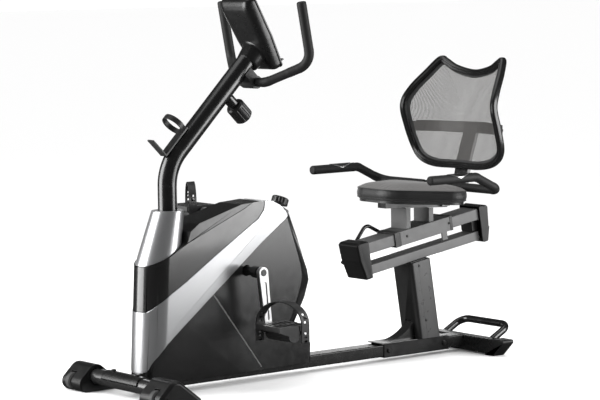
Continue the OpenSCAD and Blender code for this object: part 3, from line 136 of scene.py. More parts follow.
def dress(tree, shader, colour, rough, height, bump, depth):
    dents = add_node(tree, "ShaderNodeBump", {"Strength": bump, "Distance": depth, "Height": height})
    tree.links.new(colour, shader.inputs["Base Color"])
    tree.links.new(rough, shader.inputs["Roughness"])
    tree.links.new(dents.outputs["Normal"], shader.inputs["Normal"])


def skin_finish(name, low, high, rough, grain, bump, rub, sockets=None):
    finish, tree, shader = new_finish(name, sockets)
    values = {
        "Low": low, "High": high, "Rough Low": rough[0], "Rough High": rough[1], "Grain": grain, "Rub": rub,
    }
    skin = add_node(tree, "ShaderNodeGroup", values, node_tree=moulded_skin).outputs
    dress(tree, shader, skin["Color"], skin["Roughness"], skin["Height"], bump, skin_depth)
    return finish


def coat(finish, *nodes):
    for node in nodes:
        mesh = frame["nodes"][node].data
        mesh.materials.clear()
        mesh.materials.append(finish)


weld_reach = 2e-6
flat_turn = math.radians(0.4)


def merged_copy(node):
    bm = bmesh.new()
    bm.from_mesh(frame["nodes"][node].data)
    bmesh.ops.remove_doubles(bm, verts=bm.verts, dist=weld_reach)
    for edge in bm.edges:
        edge.smooth = True
    for face in bm.faces:
        face.material_index = 0
    bmesh.ops.dissolve_limit(bm, angle_limit=flat_turn, verts=bm.verts, edges=bm.edges)
    return bm


scene = bpy.context.scene
record = frame["record"]
body_of = {node: body for body, nodes in record["behaviour"]["bodies"].items() for node in nodes}
slot_of = {part["node"]: part["material_slot"] for part in record["subparts"]}


def mesh_of(bm, name):
    mesh = bpy.data.meshes.new(name)
    bm.to_mesh(mesh)
    bm.free()
    return mesh


def add_object(name, data):
    made = bpy.data.objects.new(name, data)
    scene.collection.objects.link(made)
    return made


def finish_piece(bm, name, body, slot, finishes, stands_for=(), crease=40, fold=None):
    for face in bm.faces:
        face.smooth = True
    bm.edges.index_update()
    folds = [edge.index for edge in bm.edges if fold and fold(edge)]
    mesh = mesh_of(bm, name)
    stale = mesh.attributes.get("custom_normal")
    if stale:
        mesh.attributes.remove(stale)
    mesh.set_sharp_from_angle(angle=math.radians(crease))
    for i in folds:
        mesh.edges[i].use_edge_sharp = True
    for finish in finishes:
        mesh.materials.append(finish)
    piece = add_object(name, mesh)
    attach(piece, body)
    if stands_for:
        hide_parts(*stands_for)
    return piece


def stand_in(bm, node, finishes, crease=40, fold=None):
    return finish_piece(bm, node + "_finished", body_of[node], slot_of[node], finishes, (node,), crease, fold)


def even_shading(piece):
    piece.modifiers.new("even shading", "WEIGHTED_NORMAL").keep_sharp = True


def round_edges(bm, radius, segments=3, shorter=0.0, keep=None, least=32):
    edges = [
        edge
        for edge in bm.edges
        if len(edge.link_faces) == 2
        and edge.is_convex
        and edge.calc_face_angle() > math.radians(least)
        and edge.calc_length() > shorter
        and (keep is None or keep(edge))
    ]
    bmesh.ops.bevel(
        bm,
        geom=edges,
        offset=radius,
        offset_type="OFFSET",
        segments=segments,
        profile=0.5,
        affect="EDGES",
        material=-1,
        clamp_overlap=False,
        loop_slide=True,
    )


def rounded_copy(node, finish, radius, segments=3, shorter=0.0, keep=None, fold=None):
    bm = merged_copy(node)
    round_edges(bm, radius, segments, shorter, keep)
    even_shading(stand_in(bm, node, [finish], fold=fold))


black_coat = skin_finish(
    "black powder coat", grey(0.0035), grey(0.005), rough=(0.20, 0.27), grain=160.0, bump=0.006, rub=0.02,
    sockets={"Specular IOR Level": 0.7},
)
base_coat = skin_finish(
    "base powder coat", grey(0.003), grey(0.0045), rough=(0.22, 0.30), grain=160.0, bump=0.006, rub=0.02,
    sockets={"Specular IOR Level": 0.35},
)
tube_edge = 0.1
rounded_copy("base_rail", base_coat, radius=0.004, shorter=tube_edge)
rounded_copy("rear_cross_tube", base_coat, radius=0.005, shorter=tube_edge)
coat(black_coat, "front_cross_tube", "rear_lift_handle")


# Foot caps and transport wheels: glass-filled black mouldings pushed on the ends of both foot tubes.
# The front pair are shoes that carry a small roller each, on a plain steel pin.
floor_margin = 0.004
foot_plastic = skin_finish(
    "foot plastic", grey(0.004), grey(0.006), rough=(0.32, 0.42), grain=1500.0, bump=0.15, rub=0.05,
    sockets={"Specular IOR Level": 0.3},
)
wheel_rubber = skin_finish(
    "wheel rubber", grey(0.014), grey(0.022), rough=(0.6, 0.75), grain=900.0, bump=0.3, rub=0.1
)
zinc = skin_finish(
    "zinc plate", grey(0.45), grey(0.58), rough=(0.25, 0.38), grain=700.0, bump=0.08, rub=0.0,
    sockets={"Metallic": 1.0},
)


def off_floor(edge):
    return max(vertex.co.z for vertex in edge.verts) > floor_margin


rounded_copy("front_caps", foot_plastic, radius=0.003, keep=off_floor)
rounded_copy("rear_caps", foot_plastic, radius=0.003)
coat(wheel_rubber, "transport_wheel_left", "transport_wheel_right")
coat(zinc, "wheel_axles")


# Drive inside the housing: a turned iron flywheel, a rubber belt, a moulded pulley, plated bearings and the
# magnet shoe, on a welded carrier. Nothing of it shows from outside, so the pieces keep their plain shapes.
cast_iron = skin_finish(
    "turned iron", grey(0.30), grey(0.36), rough=(0.3, 0.45), grain=600.0, bump=0.15, rub=0.0,
    sockets={"Metallic": 1.0},
)
belt_rubber = skin_finish(
    "belt rubber", grey(0.010), grey(0.016), rough=(0.6, 0.75), grain=1200.0, bump=0.2, rub=0.0
)
coat(black_coat, "drive_frame", "flywheel_bracket")
coat(cast_iron, "flywheel")
coat(belt_rubber, "drive_belt", "tension_cable")
coat(foot_plastic, "crank_pulley")
coat(zinc, "crank_bearings", "flywheel_axle", "magnet_bracket")


# Drive housing: two deep covers of satin black plastic that meet in the centre plane, a gloss black band let
# into them, and the silver lacquered shroud and neck collar clipped over the front. A raised bead is moulded
# across each side panel, coloured pale grey as a painted highlight along the ridge.
trim_edge = 0.0012
cover_plastic = skin_finish(
    "cover plastic", grey(0.003), grey(0.005), rough=(0.20, 0.27), grain=1100.0, bump=0.04, rub=0.03,
    sockets={"Specular IOR Level": 0.6},
)
band_plastic = skin_finish(
    "band plastic", grey(0.004), grey(0.006), rough=(0.20, 0.27), grain=700.0, bump=0.03, rub=0.03,
    sockets={"Coat Weight": 0.4, "Coat Roughness": 0.08},
)


def make_silver_lacquer():
    finish, tree, shader = new_finish(
        "silver lacquer", {"Metallic": 0.85, "Coat Weight": 0.5, "Coat Roughness": 0.15}
    )
    flake = add_node(tree, "ShaderNodeTexVoronoi", {"Vector": object_place(tree), "Scale": 2600.0})
    sparkle = add_node(tree, "ShaderNodeRGBToBW", {"Color": flake.outputs["Color"]}).outputs["Val"]
    tone = mixed(tree, sparkle, (0.34, 0.343, 0.35, 1), (0.44, 0.443, 0.45, 1))
    rough = spread(tree, sparkle, low=0.26, high=0.36)
    dress(tree, shader, tone, rough, sparkle, bump=0.04, depth=0.0003)
    return finish


silver_lacquer = make_silver_lacquer()
column_end, tail_start = -0.595, -0.15
strip_wide = 0.003
fold_most, fold_ahead, fold_behind = 32, 1, 6


def is_side_fold(edge):
    if len(edge.link_faces) < 2 or min(vertex.co.x for vertex in edge.verts) < column_end:
        return False
    turn = math.degrees(edge.calc_face_angle())
    wide = min(face.calc_area() for face in edge.link_faces) > strip_wide * edge.calc_length()
    ahead = max(vertex.co.x for vertex in edge.verts) < tail_start
    return wide and turn < fold_most and turn > (fold_ahead if ahead else fold_behind)


for side in ("left", "right"):
    rounded_copy(
        "cover_" + side, cover_plastic, radius=trim_edge, segments=2, shorter=0.003, fold=is_side_fold
    )
rounded_copy("dark_band", band_plastic, radius=trim_edge, segments=2, shorter=0.003)
rounded_copy("silver_shroud", silver_lacquer, radius=trim_edge, segments=2, shorter=0.003, fold=is_side_fold)
rounded_copy("neck_collar", silver_lacquer, radius=trim_edge, segments=2, shorter=0.002)


def baked_mesh(piece):
    bpy.context.view_layer.update()
    return bpy.data.meshes.new_from_object(piece.evaluated_get(bpy.context.evaluated_depsgraph_get()))


def curve_through(points, cyclic=True):
    curve = bpy.data.curves.new("line", "CURVE")
    curve.dimensions = "3D"
    line = curve.splines.new("POLY")
    line.points.add(len(points) - 1)
    for knot, point in zip(line.points, points):
        knot.co = (*point, 1)
    line.use_cyclic_u = cyclic
    return curve


def swept_mesh(curve):
    shape = add_object("line", curve)
    bm = bmesh.new()
    bm.from_mesh(baked_mesh(shape))
    bpy.data.objects.remove(shape)
    return bm


def tube_along(points, radius, cyclic=True):
    curve = curve_through(points, cyclic)
    curve.bevel_depth = radius
    curve.bevel_resolution = 3
    curve.use_fill_caps = not cyclic
    return swept_mesh(curve)


outside = 0.4


def surface_of(node):
    bm = merged_copy(node)
    surface = BVHTree.FromBMesh(bm)
    bm.free()
    return surface


def seen_from_side(surface, along, up, side):
    spot, normal, _, _ = surface.ray_cast(Vector((along, side * outside, up)), Vector((0, -side, 0)))
    return spot, normal


ridge_top, ridge_foot = Vector((-0.431, 0, 0.300)), Vector((-0.239, 0, 0.049))
ridge_radius, ridge_steps = 0.0022, 14
# The bead is coloured pale grey as a painted highlight along the ridge line, much lighter than the black
# covers.
ridge_painted_highlight = skin_finish(
    "ridge plastic painted highlight", grey(0.10), grey(0.13), rough=(0.24, 0.32), grain=1100.0, bump=0.04, rub=0.0
)
for hand, side in (("left", -1), ("right", 1)):
    panel = surface_of("cover_" + hand)
    line = [ridge_top.lerp(ridge_foot, step / ridge_steps) for step in range(ridge_steps + 1)]
    bead = tube_along([seen_from_side(panel, p.x, p.z, side)[0] for p in line], ridge_radius, cyclic=False)
    finish_piece(bead, "panel_ridge_" + hand, "frame", slot_of["cover_" + hand], [ridge_painted_highlight])


# Cranks and pedals: forged plated arms on a black steel axle, moulded pedals with a slotted tread and soft
# rubber straps buttoned through their sides.
chrome = skin_finish(
    "plated steel", grey(0.62), grey(0.70), rough=(0.30, 0.38), grain=300.0, bump=0.003, rub=0.0,
    sockets={"Metallic": 1.0},
)
pedal_plastic = skin_finish(
    "pedal plastic", grey(0.005), grey(0.008), rough=(0.36, 0.46), grain=1300.0, bump=0.15, rub=0.08
)
strap_rubber = skin_finish(
    "strap rubber", grey(0.007), grey(0.011), rough=(0.40, 0.52), grain=900.0, bump=0.15, rub=0.05
)
coat(black_coat, "crank_axle")
coat(zinc, "pedal_spindles")
for side in ("left", "right"):
    rounded_copy("crank_arm_" + side, chrome, radius=0.0016)
    rounded_copy("pedal_" + side, pedal_plastic, radius=0.0009, segments=2)
    rounded_copy("strap_" + side, strap_rubber, radius=0.0006, segments=2)


# Knobs and bottle cage: black plastic mouldings with softened edges. One knob stands on the roof of the
# housing, and the other knob and the cage are fixed to the mast.
knob_plastic = skin_finish(
    "knob plastic", grey(0.005), grey(0.008), rough=(0.32, 0.42), grain=1000.0, bump=0.12, rub=0.08
)
rounded_copy("resistance_knob", knob_plastic, radius=0.0008, segments=2)
rounded_copy("mast_knob", knob_plastic, radius=0.0008, segments=2)
rounded_copy("bottle_cage", knob_plastic, radius=0.001, segments=2)


# Mast and handlebar: bent steel tube with the same powder coat, and a satin cradle that holds the bar.
# Closed-cell foam is rolled over the handlebar and the side handle, bare only in the middle where they are
# held, with rounded ends and fine open pores in its skin.
foam_round, foam_thick = 0.004, 0.003
foam_voxel, foam_smoothing = 0.0025, 5
bar_radius, cradle_reach = 0.0125, 0.050
bar_bare, side_bare = 0.036, 0.075


def make_foam():
    finish, tree, shader = new_finish("foam sleeve", {"Specular IOR Level": 0.35})
    place = object_place(tree)
    cloud = clouds(tree, place, scale=14.0, detail=4.0)
    tone = mixed(tree, cloud, grey(0.006), grey(0.011))
    pores = add_node(tree, "ShaderNodeTexVoronoi", {"Vector": place, "Scale": 650.0}).outputs["Distance"]
    rough = spread(tree, cloud, low=0.52, high=0.68)
    dress(tree, shader, tone, rough, pores, bump=0.35, depth=0.0005)
    return finish


foam = make_foam()
coat(black_coat, "handlebar", "side_handle")
bar_axis = Vector(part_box("handlebar")[0]) + Vector((bar_radius, 0, bar_radius))


def two_tone_copy(node, finishes, is_second, radius=0.0, shorter=0.0):
    bm = merged_copy(node)
    if radius:
        round_edges(bm, radius, shorter=shorter)
    for face in bm.faces:
        face.material_index = int(is_second(face))
    even_shading(stand_in(bm, node, finishes))


def near_bar(face):
    spot = face.calc_center_median()
    return Vector((spot.x - bar_axis.x, spot.z - bar_axis.z)).length < cradle_reach


two_tone_copy("mast", [black_coat, foot_plastic], near_bar)


def join_mesh(bm, part):
    mesh = mesh_of(part, "part")
    bm.from_mesh(mesh)
    bpy.data.meshes.remove(mesh)


def even_mesh(bm, size):
    blank = add_object("blank", mesh_of(bm, "blank"))
    even = blank.modifiers.new("even mesh", "REMESH")
    even.mode = "VOXEL"
    even.voxel_size = size
    blank.data = baked_mesh(blank)
    blank.modifiers.clear()
    return blank


def smoothed(blank, passes, factor=0.5):
    bm = bmesh.new()
    bm.from_mesh(blank.data)
    bpy.data.objects.remove(blank)
    for _ in range(passes):
        bmesh.ops.smooth_vert(
            bm, verts=bm.verts, factor=factor, use_axis_x=True, use_axis_y=True, use_axis_z=True
        )
    return bm


def foam_over(sleeve, bar, bare_half):
    bm = merged_copy(sleeve)
    round_edges(bm, foam_round, segments=4, least=60)
    for side in (-1, 1):
        stretch = merged_copy(bar)
        bmesh.ops.bisect_plane(
            stretch,
            geom=stretch.verts[:] + stretch.edges[:] + stretch.faces[:],
            plane_co=(0, side * bare_half, 0),
            plane_no=(0, side, 0),
            clear_inner=True,
        )
        bmesh.ops.holes_fill(stretch, edges=stretch.edges)
        bmesh.ops.recalc_face_normals(stretch, faces=stretch.faces)
        stretch.normal_update()
        for vertex in stretch.verts:
            vertex.co += foam_thick * vertex.normal
        join_mesh(bm, stretch)
    bm = smoothed(even_mesh(bm, foam_voxel), foam_smoothing)
    stand_in(bm, sleeve, [foam], crease=60)


foam_over("handlebar_grips", "handlebar", bar_bare)
foam_over("side_grips", "side_handle", side_bare)


# Console: a pillow-shaped moulded case with a boss round the end of the mast, a face plate, a display window
# and two soft keys. Behind the window lies a grey-green liquid crystal panel.
console_tilt, console_x, console_z = math.radians(30), -0.21175, 1.132
console_place = Matrix((
    (0, -math.sin(console_tilt), math.cos(console_tilt), console_x),
    (1, 0, 0, 0),
    (0, math.cos(console_tilt), math.sin(console_tilt), console_z),
    (0, 0, 0, 1),
))
case_corners = [((0.058, 0.089), 0.018), ((0.054, -0.040), 0.018), ((0.040, -0.141), 0.016)]
case_middle = Vector((0, -0.020))
case_rings = [
    (0.98, 0.003), (0.985, 0.015), (0.975, 0.025), (0.94, 0.034), (0.87, 0.041), (0.74, 0.0455), (0.5, 0.048),
    (0.2, 0.049),
]
boss_place = Matrix.Translation((0, -0.0875, -0.062)) @ Matrix.Rotation(math.radians(-15), 4, "X")
boss_long, boss_wide, boss_narrow = 0.050, 0.044, 0.036
outline_steps, boss_sides = 96, 48
case_voxel, case_smoothing = 0.0025, 8


def rounded_outline(half_corners, turns):
    corners = [
        (Vector((side * place[0], place[1])), radius) for place, radius in half_corners for side in (-1, 1)
    ]
    for step in range(turns):
        way = Vector((math.cos(math.tau * step / turns), math.sin(math.tau * step / turns)))
        centre, radius = max(corners, key=lambda corner: corner[0].dot(way) + corner[1])
        yield centre + radius * way


def add_ring(bm, points):
    ring = [bm.verts.new(point) for point in points]
    return [bm.edges.new((ring[i - 1], ring[i])) for i in range(len(ring))]


def make_console_case():
    outline = list(rounded_outline(case_corners, outline_steps))
    bm = bmesh.new()
    loops = []
    for share, deep in case_rings:
        loops.append(add_ring(bm, [(*(case_middle + share * (p - case_middle)), -deep) for p in outline]))
    for outer, inner in zip(loops, loops[1:]):
        bmesh.ops.bridge_loops(bm, edges=outer + inner)
    for end in (loops[0], loops[-1]):
        bmesh.ops.contextual_create(bm, geom=end)
    bmesh.ops.recalc_face_normals(bm, faces=bm.faces)
    bmesh.ops.create_cone(
        bm, cap_ends=True, segments=boss_sides, radius1=boss_narrow, radius2=boss_wide, depth=boss_long,
        matrix=boss_place,
    )
    bm = smoothed(even_mesh(bm, case_voxel), case_smoothing)
    bmesh.ops.transform(bm, matrix=console_place, verts=bm.verts)
    return bm


console_plastic = skin_finish(
    "console plastic", grey(0.004), grey(0.006), rough=(0.26, 0.34), grain=900.0, bump=0.03, rub=0.0
)
key_rubber = skin_finish(
    "key rubber", grey(0.08), grey(0.10), rough=(0.5, 0.6), grain=900.0, bump=0.2, rub=0.05
)
panel_glass = skin_finish(
    "display panel", (0.20, 0.23, 0.18, 1), (0.23, 0.26, 0.20, 1), rough=(0.06, 0.10), grain=500.0, bump=0.02,
    rub=0.0, sockets={"Coat Weight": 1.0, "Coat Roughness": 0.02},
)
stand_in(make_console_case(), "console_back", [console_plastic], crease=60)
rounded_copy("console_front", console_plastic, radius=0.0012, segments=2)
coat(key_rubber, "mode_key", "set_key")
coat(panel_glass, "console_screen")


# Display figures: dark liquid crystal bars, seven to a figure, in two rows of plain numbers.
# Each bar is a thin six-sided chip that stands a hair above the panel.
figure_ink = skin_finish(
    "display figures", grey(0.012), grey(0.018), rough=(0.2, 0.3), grain=900.0, bump=0.02, rub=0.0
)
bars_of = {
    "0": "abcdef", "1": "bc", "2": "abdeg", "3": "abcdg",
    "4": "bcfg", "5": "acdfg", "6": "acdefg", "8": "abcdefg",
}
bar_places = {
    "a": (0, 1, 0),
    "b": (0.5, 0.5, 1),
    "c": (0.5, -0.5, 1),
    "d": (0, -1, 0),
    "e": (-0.5, -0.5, 1),
    "f": (-0.5, 0.5, 1),
    "g": (0, 0, 0),
}
upper_row, lower_row = 0.048, 0.020
large_half, small_half = 0.011, 0.007
figure_rows = [
    ("12", -0.026, upper_row, large_half),
    ("45", 0.006, upper_row, large_half),
    ("086", -0.032, lower_row, small_half),
    ("320", 0.012, lower_row, small_half),
]
figure_pitch, bar_long, bar_thick = 1.75, 0.95, 0.24
figure_lift, figure_deep = 0.0001, 0.0002


def add_figure(bm, figure, left, up, half):
    for bar in bars_of[figure]:
        across, rise, turn = bar_places[bar]
        place = (
            console_place
            @ Matrix.Translation((left + across * half, up + rise * half, figure_lift))
            @ Matrix.Rotation(turn * math.pi / 2, 4, "Z")
            @ Matrix.Diagonal((bar_long * half, bar_thick * half, 1, 1))
        )
        bmesh.ops.create_circle(bm, cap_ends=True, segments=6, radius=0.5, matrix=place)


bm = bmesh.new()
for figures, left, up, half in figure_rows:
    for i, figure in enumerate(figures):
        add_figure(bm, figure, left + figure_pitch * half * i, up, half)
raised = bmesh.ops.extrude_face_region(bm, geom=bm.faces[:], use_keep_orig=True)["geom"]
outward = console_place.to_3x3() @ Vector((0, 0, figure_deep))
bmesh.ops.translate(bm, vec=outward, verts=[item for item in raised if isinstance(item, bmesh.types.BMVert)])
bmesh.ops.recalc_face_normals(bm, faces=bm.faces)
finish_piece(bm, "display_figures", "frame", slot_of["console_screen"], [figure_ink])


# Seat post and rails: a leaning post in moulded covers carries two box rails with moulded end caps.
# The rails and the carriage on them have a satin grey coat; the caps and covers are grained black, with
# paler sides on the covers.
grey_coat = skin_finish(
    "grey satin coat", grey(0.07), grey(0.085), rough=(0.40, 0.50), grain=650.0, bump=0.04, rub=0.03
)
post_plastic = skin_finish(
    "post plastic", grey(0.005), grey(0.008), rough=(0.34, 0.45), grain=1200.0, bump=0.15, rub=0.04
)
cap_plastic = skin_finish(
    "cap plastic", grey(0.004), grey(0.006), rough=(0.30, 0.40), grain=1200.0, bump=0.10, rub=0.04,
    sockets={"Specular IOR Level": 0.22},
)
post_side = skin_finish(
    "post side", grey(0.020), grey(0.026), rough=(0.26, 0.34), grain=1200.0, bump=0.08, rub=0.04
)
post_front = skin_finish(
    "post front", grey(0.003), grey(0.005), rough=(0.30, 0.40), grain=1200.0, bump=0.08, rub=0.04,
    sockets={"Specular IOR Level": 0.2},
)
cap_round, rim_margin, rear_cap_edge = 0.006, 0.002, 0.02
side_facing = 0.9


def rail_direction():
    bm = merged_copy("seat_rails")
    longest = max(bm.edges, key=lambda edge: edge.calc_length())
    ends = sorted((vertex.co.copy() for vertex in longest.verts), key=lambda spot: spot.x)
    bm.free()
    return (ends[1] - ends[0]).normalized()


def rounded_cap(node, way, shorter=0.0):
    bm = merged_copy(node)
    rim = max(vertex.co.dot(way) for vertex in bm.verts)
    bm.free()

    def off_rim(edge):
        return min(vertex.co.dot(way) for vertex in edge.verts) < rim - rim_margin

    rounded_copy(node, cap_plastic, radius=cap_round, segments=4, shorter=shorter, keep=off_rim)


def faces_sideways(face):
    return abs(face.normal.y) > side_facing


rounded_copy("seat_post", black_coat, radius=0.002, shorter=0.01)
rounded_copy("seat_rails", grey_coat, radius=0.003, shorter=tube_edge)
rounded_copy("carriage_sleeve", grey_coat, radius=0.0015, shorter=0.01)
rounded_copy("carriage_bushings", post_plastic, radius=0.001)
rail_way = rail_direction()
rounded_cap("rail_cap_front", rail_way)
rounded_cap("rail_cap_rear", -rail_way, rear_cap_edge)
two_tone_copy("post_covers", [post_front, post_side], faces_sideways)
coat(black_coat, "seat_lever")


# Seat frame: a square tube on two channel brackets, welded to a bent flat upright and its bow.
# Tube and brackets have the grey coat, the upright and bow the black one, and a black plug closes the tube.
plug_long = 0.022
plug_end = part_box("seat_frame")[0][0] + plug_long
upright_start = 0.540


def is_grey(face):
    return plug_end < face.calc_center_median().x < upright_start


two_tone_copy("seat_frame", [black_coat, grey_coat], is_grey, radius=0.0012, shorter=0.01)


# Seat cushion: a foam core in a grained vinyl cover, cut as a crowned top panel and a side band that pulls in
# between two corded seams, on a black moulded pan. Air pressure in a cloth simulation swells the panels
# between the sewn lines.
seat_place = Matrix.Translation((0.40825, 0, 0.525)) @ Matrix.Rotation(math.radians(3), 4, "Y")
cushion_base, cushion_tall = 0.0084, 0.054
cushion_corners = [((0.030, -0.035), 0.110), ((0.132, 0.070), 0.070)]
seam_share, tuck_share, seam_reach = 0.66, 0.12, 0.003
cushion_voxel, cushion_relax = 0.005, 0.4
swell_limit, swell_frames = 0.007, 20
cord_inset, cord_radius = 0.0035, 0.0022


def seat_outline(inset, turns):
    for point in rounded_outline([(place, radius - inset) for place, radius in cushion_corners], turns):
        yield point.yx


def make_vinyl(name, low, high, rough):
    finish, tree, shader = new_finish(name, {"Specular IOR Level": 0.5, "Sheen Weight": 0.12})
    place = object_place(tree)
    cloud = clouds(tree, place, scale=12.0, detail=4.0)
    tone = mixed(tree, cloud, low, high)
    cells = {"Vector": place, "Scale": 520.0}
    grain = add_node(tree, "ShaderNodeTexVoronoi", cells, feature="DISTANCE_TO_EDGE").outputs["Distance"]
    dress(tree, shader, tone, spread(tree, cloud, *rough), grain, bump=0.25, depth=0.0004)
    return finish


def height_on_seat(point):
    return (seat_place.inverted() @ point).z - cushion_base


def swell(blank):
    start = [vertex.co.copy() for vertex in blank.data.vertices]
    sewn = blank.vertex_groups.new(name="sewn")
    held = [
        i
        for i, point in enumerate(start)
        if height_on_seat(point) < tuck_share * cushion_tall + seam_reach
        or abs(height_on_seat(point) - seam_share * cushion_tall) < seam_reach
    ]
    sewn.add(held, 1.0, "REPLACE")
    cloth = blank.modifiers.new("swell", "CLOTH")
    cloth.settings.quality = 6
    cloth.settings.mass = 0.2
    cloth.settings.use_pressure = True
    cloth.settings.uniform_pressure_force = 4.0
    cloth.settings.vertex_group_mass = "sewn"
    cloth.settings.effector_weights.gravity = 0.0
    for number in range(1, swell_frames + 1):
        scene.frame_set(number)
    swollen = baked_mesh(blank)
    scene.frame_set(1)
    blank.modifiers.clear()
    for vertex, old, new in zip(blank.data.vertices, start, swollen.vertices):
        move = new.co - old
        vertex.co = old + move * min(1.0, swell_limit / max(move.length, 1e-9))
    bpy.data.meshes.remove(swollen)


def make_cushion(finishes):
    blank = even_mesh(merged_copy("seat_cushion"), cushion_voxel)
    swell(blank)
    bm = smoothed(blank, 1, cushion_relax)
    for face in bm.faces:
        # Faces above the upper seam take the top vinyl, whose paler tone is partly painted sheen.
        face.material_index = int(height_on_seat(face.calc_center_median()) > seam_share * cushion_tall)
    cushion = finish_piece(
        bm, "seat_cushion_soft", "seat", slot_of["seat_cushion"], finishes, ("seat_cushion",), crease=180
    )
    smooth = cushion.modifiers.new("smooth", "SUBSURF")
    smooth.levels = smooth.render_levels = 1


coat(post_plastic, "seat_pan")
side_vinyl = make_vinyl("side vinyl", grey(0.006), grey(0.009), rough=(0.40, 0.50))
# The top panel is paler than the side band partly as its own vinyl and partly as painted sheen where light
# falls on the top.
top_vinyl_painted_sheen = make_vinyl("top vinyl partly painted sheen", grey(0.07, 0.03), grey(0.095, 0.03), rough=(0.44, 0.56))
make_cushion([side_vinyl, top_vinyl_painted_sheen])
for name, share in (("cushion_seam_cord", seam_share), ("cushion_tuck_cord", tuck_share)):
    up = cushion_base + share * cushion_tall
    line = [seat_place @ Vector((*point, up)) for point in seat_outline(cord_inset, outline_steps)]
    finish_piece(tube_along(line, cord_radius), name, "seat", slot_of["seat_cushion"], [side_vinyl])


# Pulse plates: diamonds of stainless steel bent over the side grips, dark brushed in a bright rolled edge.
# Each is cut from thin sheet and glued into the foam.
def make_brushed(name, low, high):
    finish, tree, shader = new_finish(name, {"Metallic": 1.0})
    stretch = {"Vector": object_place(tree), "Scale": (30.0, 1500.0, 1500.0)}
    place = add_node(tree, "ShaderNodeMapping", stretch).outputs["Vector"]
    lines = clouds(tree, place, scale=1.0, detail=3.0)
    tone = mixed(tree, lines, low, high)
    rough = spread(tree, lines, low=0.22, high=0.40)
    dress(tree, shader, tone, rough, lines, bump=0.1, depth=0.0002)
    return finish


dark_steel = make_brushed("dark steel", grey(0.10), grey(0.14))
bright_steel = make_brushed("bright steel", grey(0.66), grey(0.80))
plate_low, plate_high = (Vector(corner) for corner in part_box("pulse_plates"))
plate_round, plate_thick = 0.0166, 0.001
plate_wrap = math.radians(84)
plate_edge = 0.76
plate_columns, plate_rows = 24, 17


def add_plate(bm, side):
    sheet = bmesh.new()
    bmesh.ops.create_grid(sheet, x_segments=plate_columns, y_segments=plate_rows, size=1)
    for face in sheet.faces:
        face.material_index = int(abs(face.calc_center_median().y) > plate_edge)
    grip_y, grip_z = side * (plate_high.y - plate_round), plate_high.z - plate_round
    for vertex in sheet.verts:
        along, across = vertex.co.x, vertex.co.y
        turn = across * math.acos(1 - (1 - abs(along)) * (1 - math.cos(plate_wrap)))
        vertex.co = (
            plate_low.x + (along + 1) / 2 * (plate_high.x - plate_low.x),
            grip_y + plate_round * math.sin(turn),
            grip_z + plate_round * math.cos(turn),
        )
    bmesh.ops.remove_doubles(sheet, verts=sheet.verts, dist=1e-6)
    bmesh.ops.recalc_face_normals(sheet, faces=sheet.faces)
    if sum(face.normal.z for face in sheet.faces) < 0:
        bmesh.ops.reverse_faces(sheet, faces=sheet.faces)
    bmesh.ops.solidify(sheet, geom=sheet.faces[:], thickness=plate_thick)
    join_mesh(bm, sheet)


bm = bmesh.new()
for side in (-1, 1):
    add_plate(bm, side)
stand_in(bm, "pulse_plates", [dark_steel, bright_steel])


# Backrest rim: a closed moulded hoop with a grooved section, whose wings come forward at both sides.
# Two curved pads on its back are bolted to the ends of the bow.
back_foot, back_low, back_tall = 0.65425, 0.622, 0.374
back_lean, back_half, wing, rim_wide = math.radians(13.5), 0.237, 0.095, 0.022
half_hoop = [
    (0, 0, 0), (0.5, 0, 0), (0.8, 0.05, 0.05), (0.95, 0.16, 0.19),
    (1, 0.37, 0.63), (0.996, 0.57, 1), (0.93, 0.72, 0.88), (0.8, 0.88, 0.52),
    (0.68, 1, 0.26), (0.59, 0.985, 0.2), (0.38, 0.92, 0.08), (0, 0.88, 0),
]
hoop_steps = 8
rim_section = [
    (0.0110, 0.0030), (0.0096, 0.0100), (0.0052, 0.0134), (0.0022, 0.0110), (-0.0006, 0.0104),
    (-0.0040, 0.0122), (-0.0086, 0.0095), (-0.0110, 0.0020), (-0.0094, -0.0085), (0, -0.0134),
    (0.0094, -0.0085),
]


def hoop_place(share):
    across, up, forward = share
    return Vector((
        back_foot + up * back_tall * math.tan(back_lean) - forward * wing,
        across * (back_half - rim_wide / 2),
        back_low + rim_wide / 2 + up * (back_tall - rim_wide),
    ))


def hoop_line():
    shares = [Vector(p) for p in half_hoop]
    shares += [Vector((-p.x, p.y, p.z)) for p in reversed(shares[1:-1])]
    count = len(shares)
    for i in range(count):
        a, b, c, d = (shares[(i + k) % count] for k in (-1, 0, 1, 2))
        for step in range(hoop_steps):
            t = step / hoop_steps
            straight = 2 * b + (c - a) * t
            square = (2 * a - 5 * b + 4 * c - d) * t**2
            cube = (3 * b - a - 3 * c + d) * t**3
            yield hoop_place(0.5 * (straight + square + cube))


def make_hoop():
    section = bpy.data.curves.new("rim section", "CURVE")
    section.dimensions = "2D"
    outline = section.splines.new("BEZIER")
    outline.bezier_points.add(len(rim_section) - 1)
    for knot, (side, deep) in zip(outline.bezier_points, rim_section):
        knot.co = (side, -deep, 0)
        knot.handle_left_type = knot.handle_right_type = "AUTO"
    outline.use_cyclic_u = True
    outline.resolution_u = 4
    section_shape = add_object("rim section", section)
    path = curve_through([(point.y, point.z, point.x) for point in hoop_line()])
    path.twist_mode = "Z_UP"
    path.bevel_mode = "OBJECT"
    path.bevel_object = section_shape
    bm = swept_mesh(path)
    bpy.data.objects.remove(section_shape)
    upright = Matrix(((0, 0, 1, 0), (1, 0, 0, 0), (0, 1, 0, 0), (0, 0, 0, 1)))
    bmesh.ops.transform(bm, matrix=upright, verts=bm.verts)
    bmesh.ops.remove_doubles(bm, verts=bm.verts, dist=1e-6)
    bmesh.ops.recalc_face_normals(bm, faces=bm.faces)
    return bm


bow_centre, bow_radius = Vector((0.34475, 0, 0.758)), 0.3653
pad_from, pad_sweep = math.radians(29.58), math.radians(7.2)
pad_thick, pad_tall, pad_round = 0.008, 0.030, 0.002


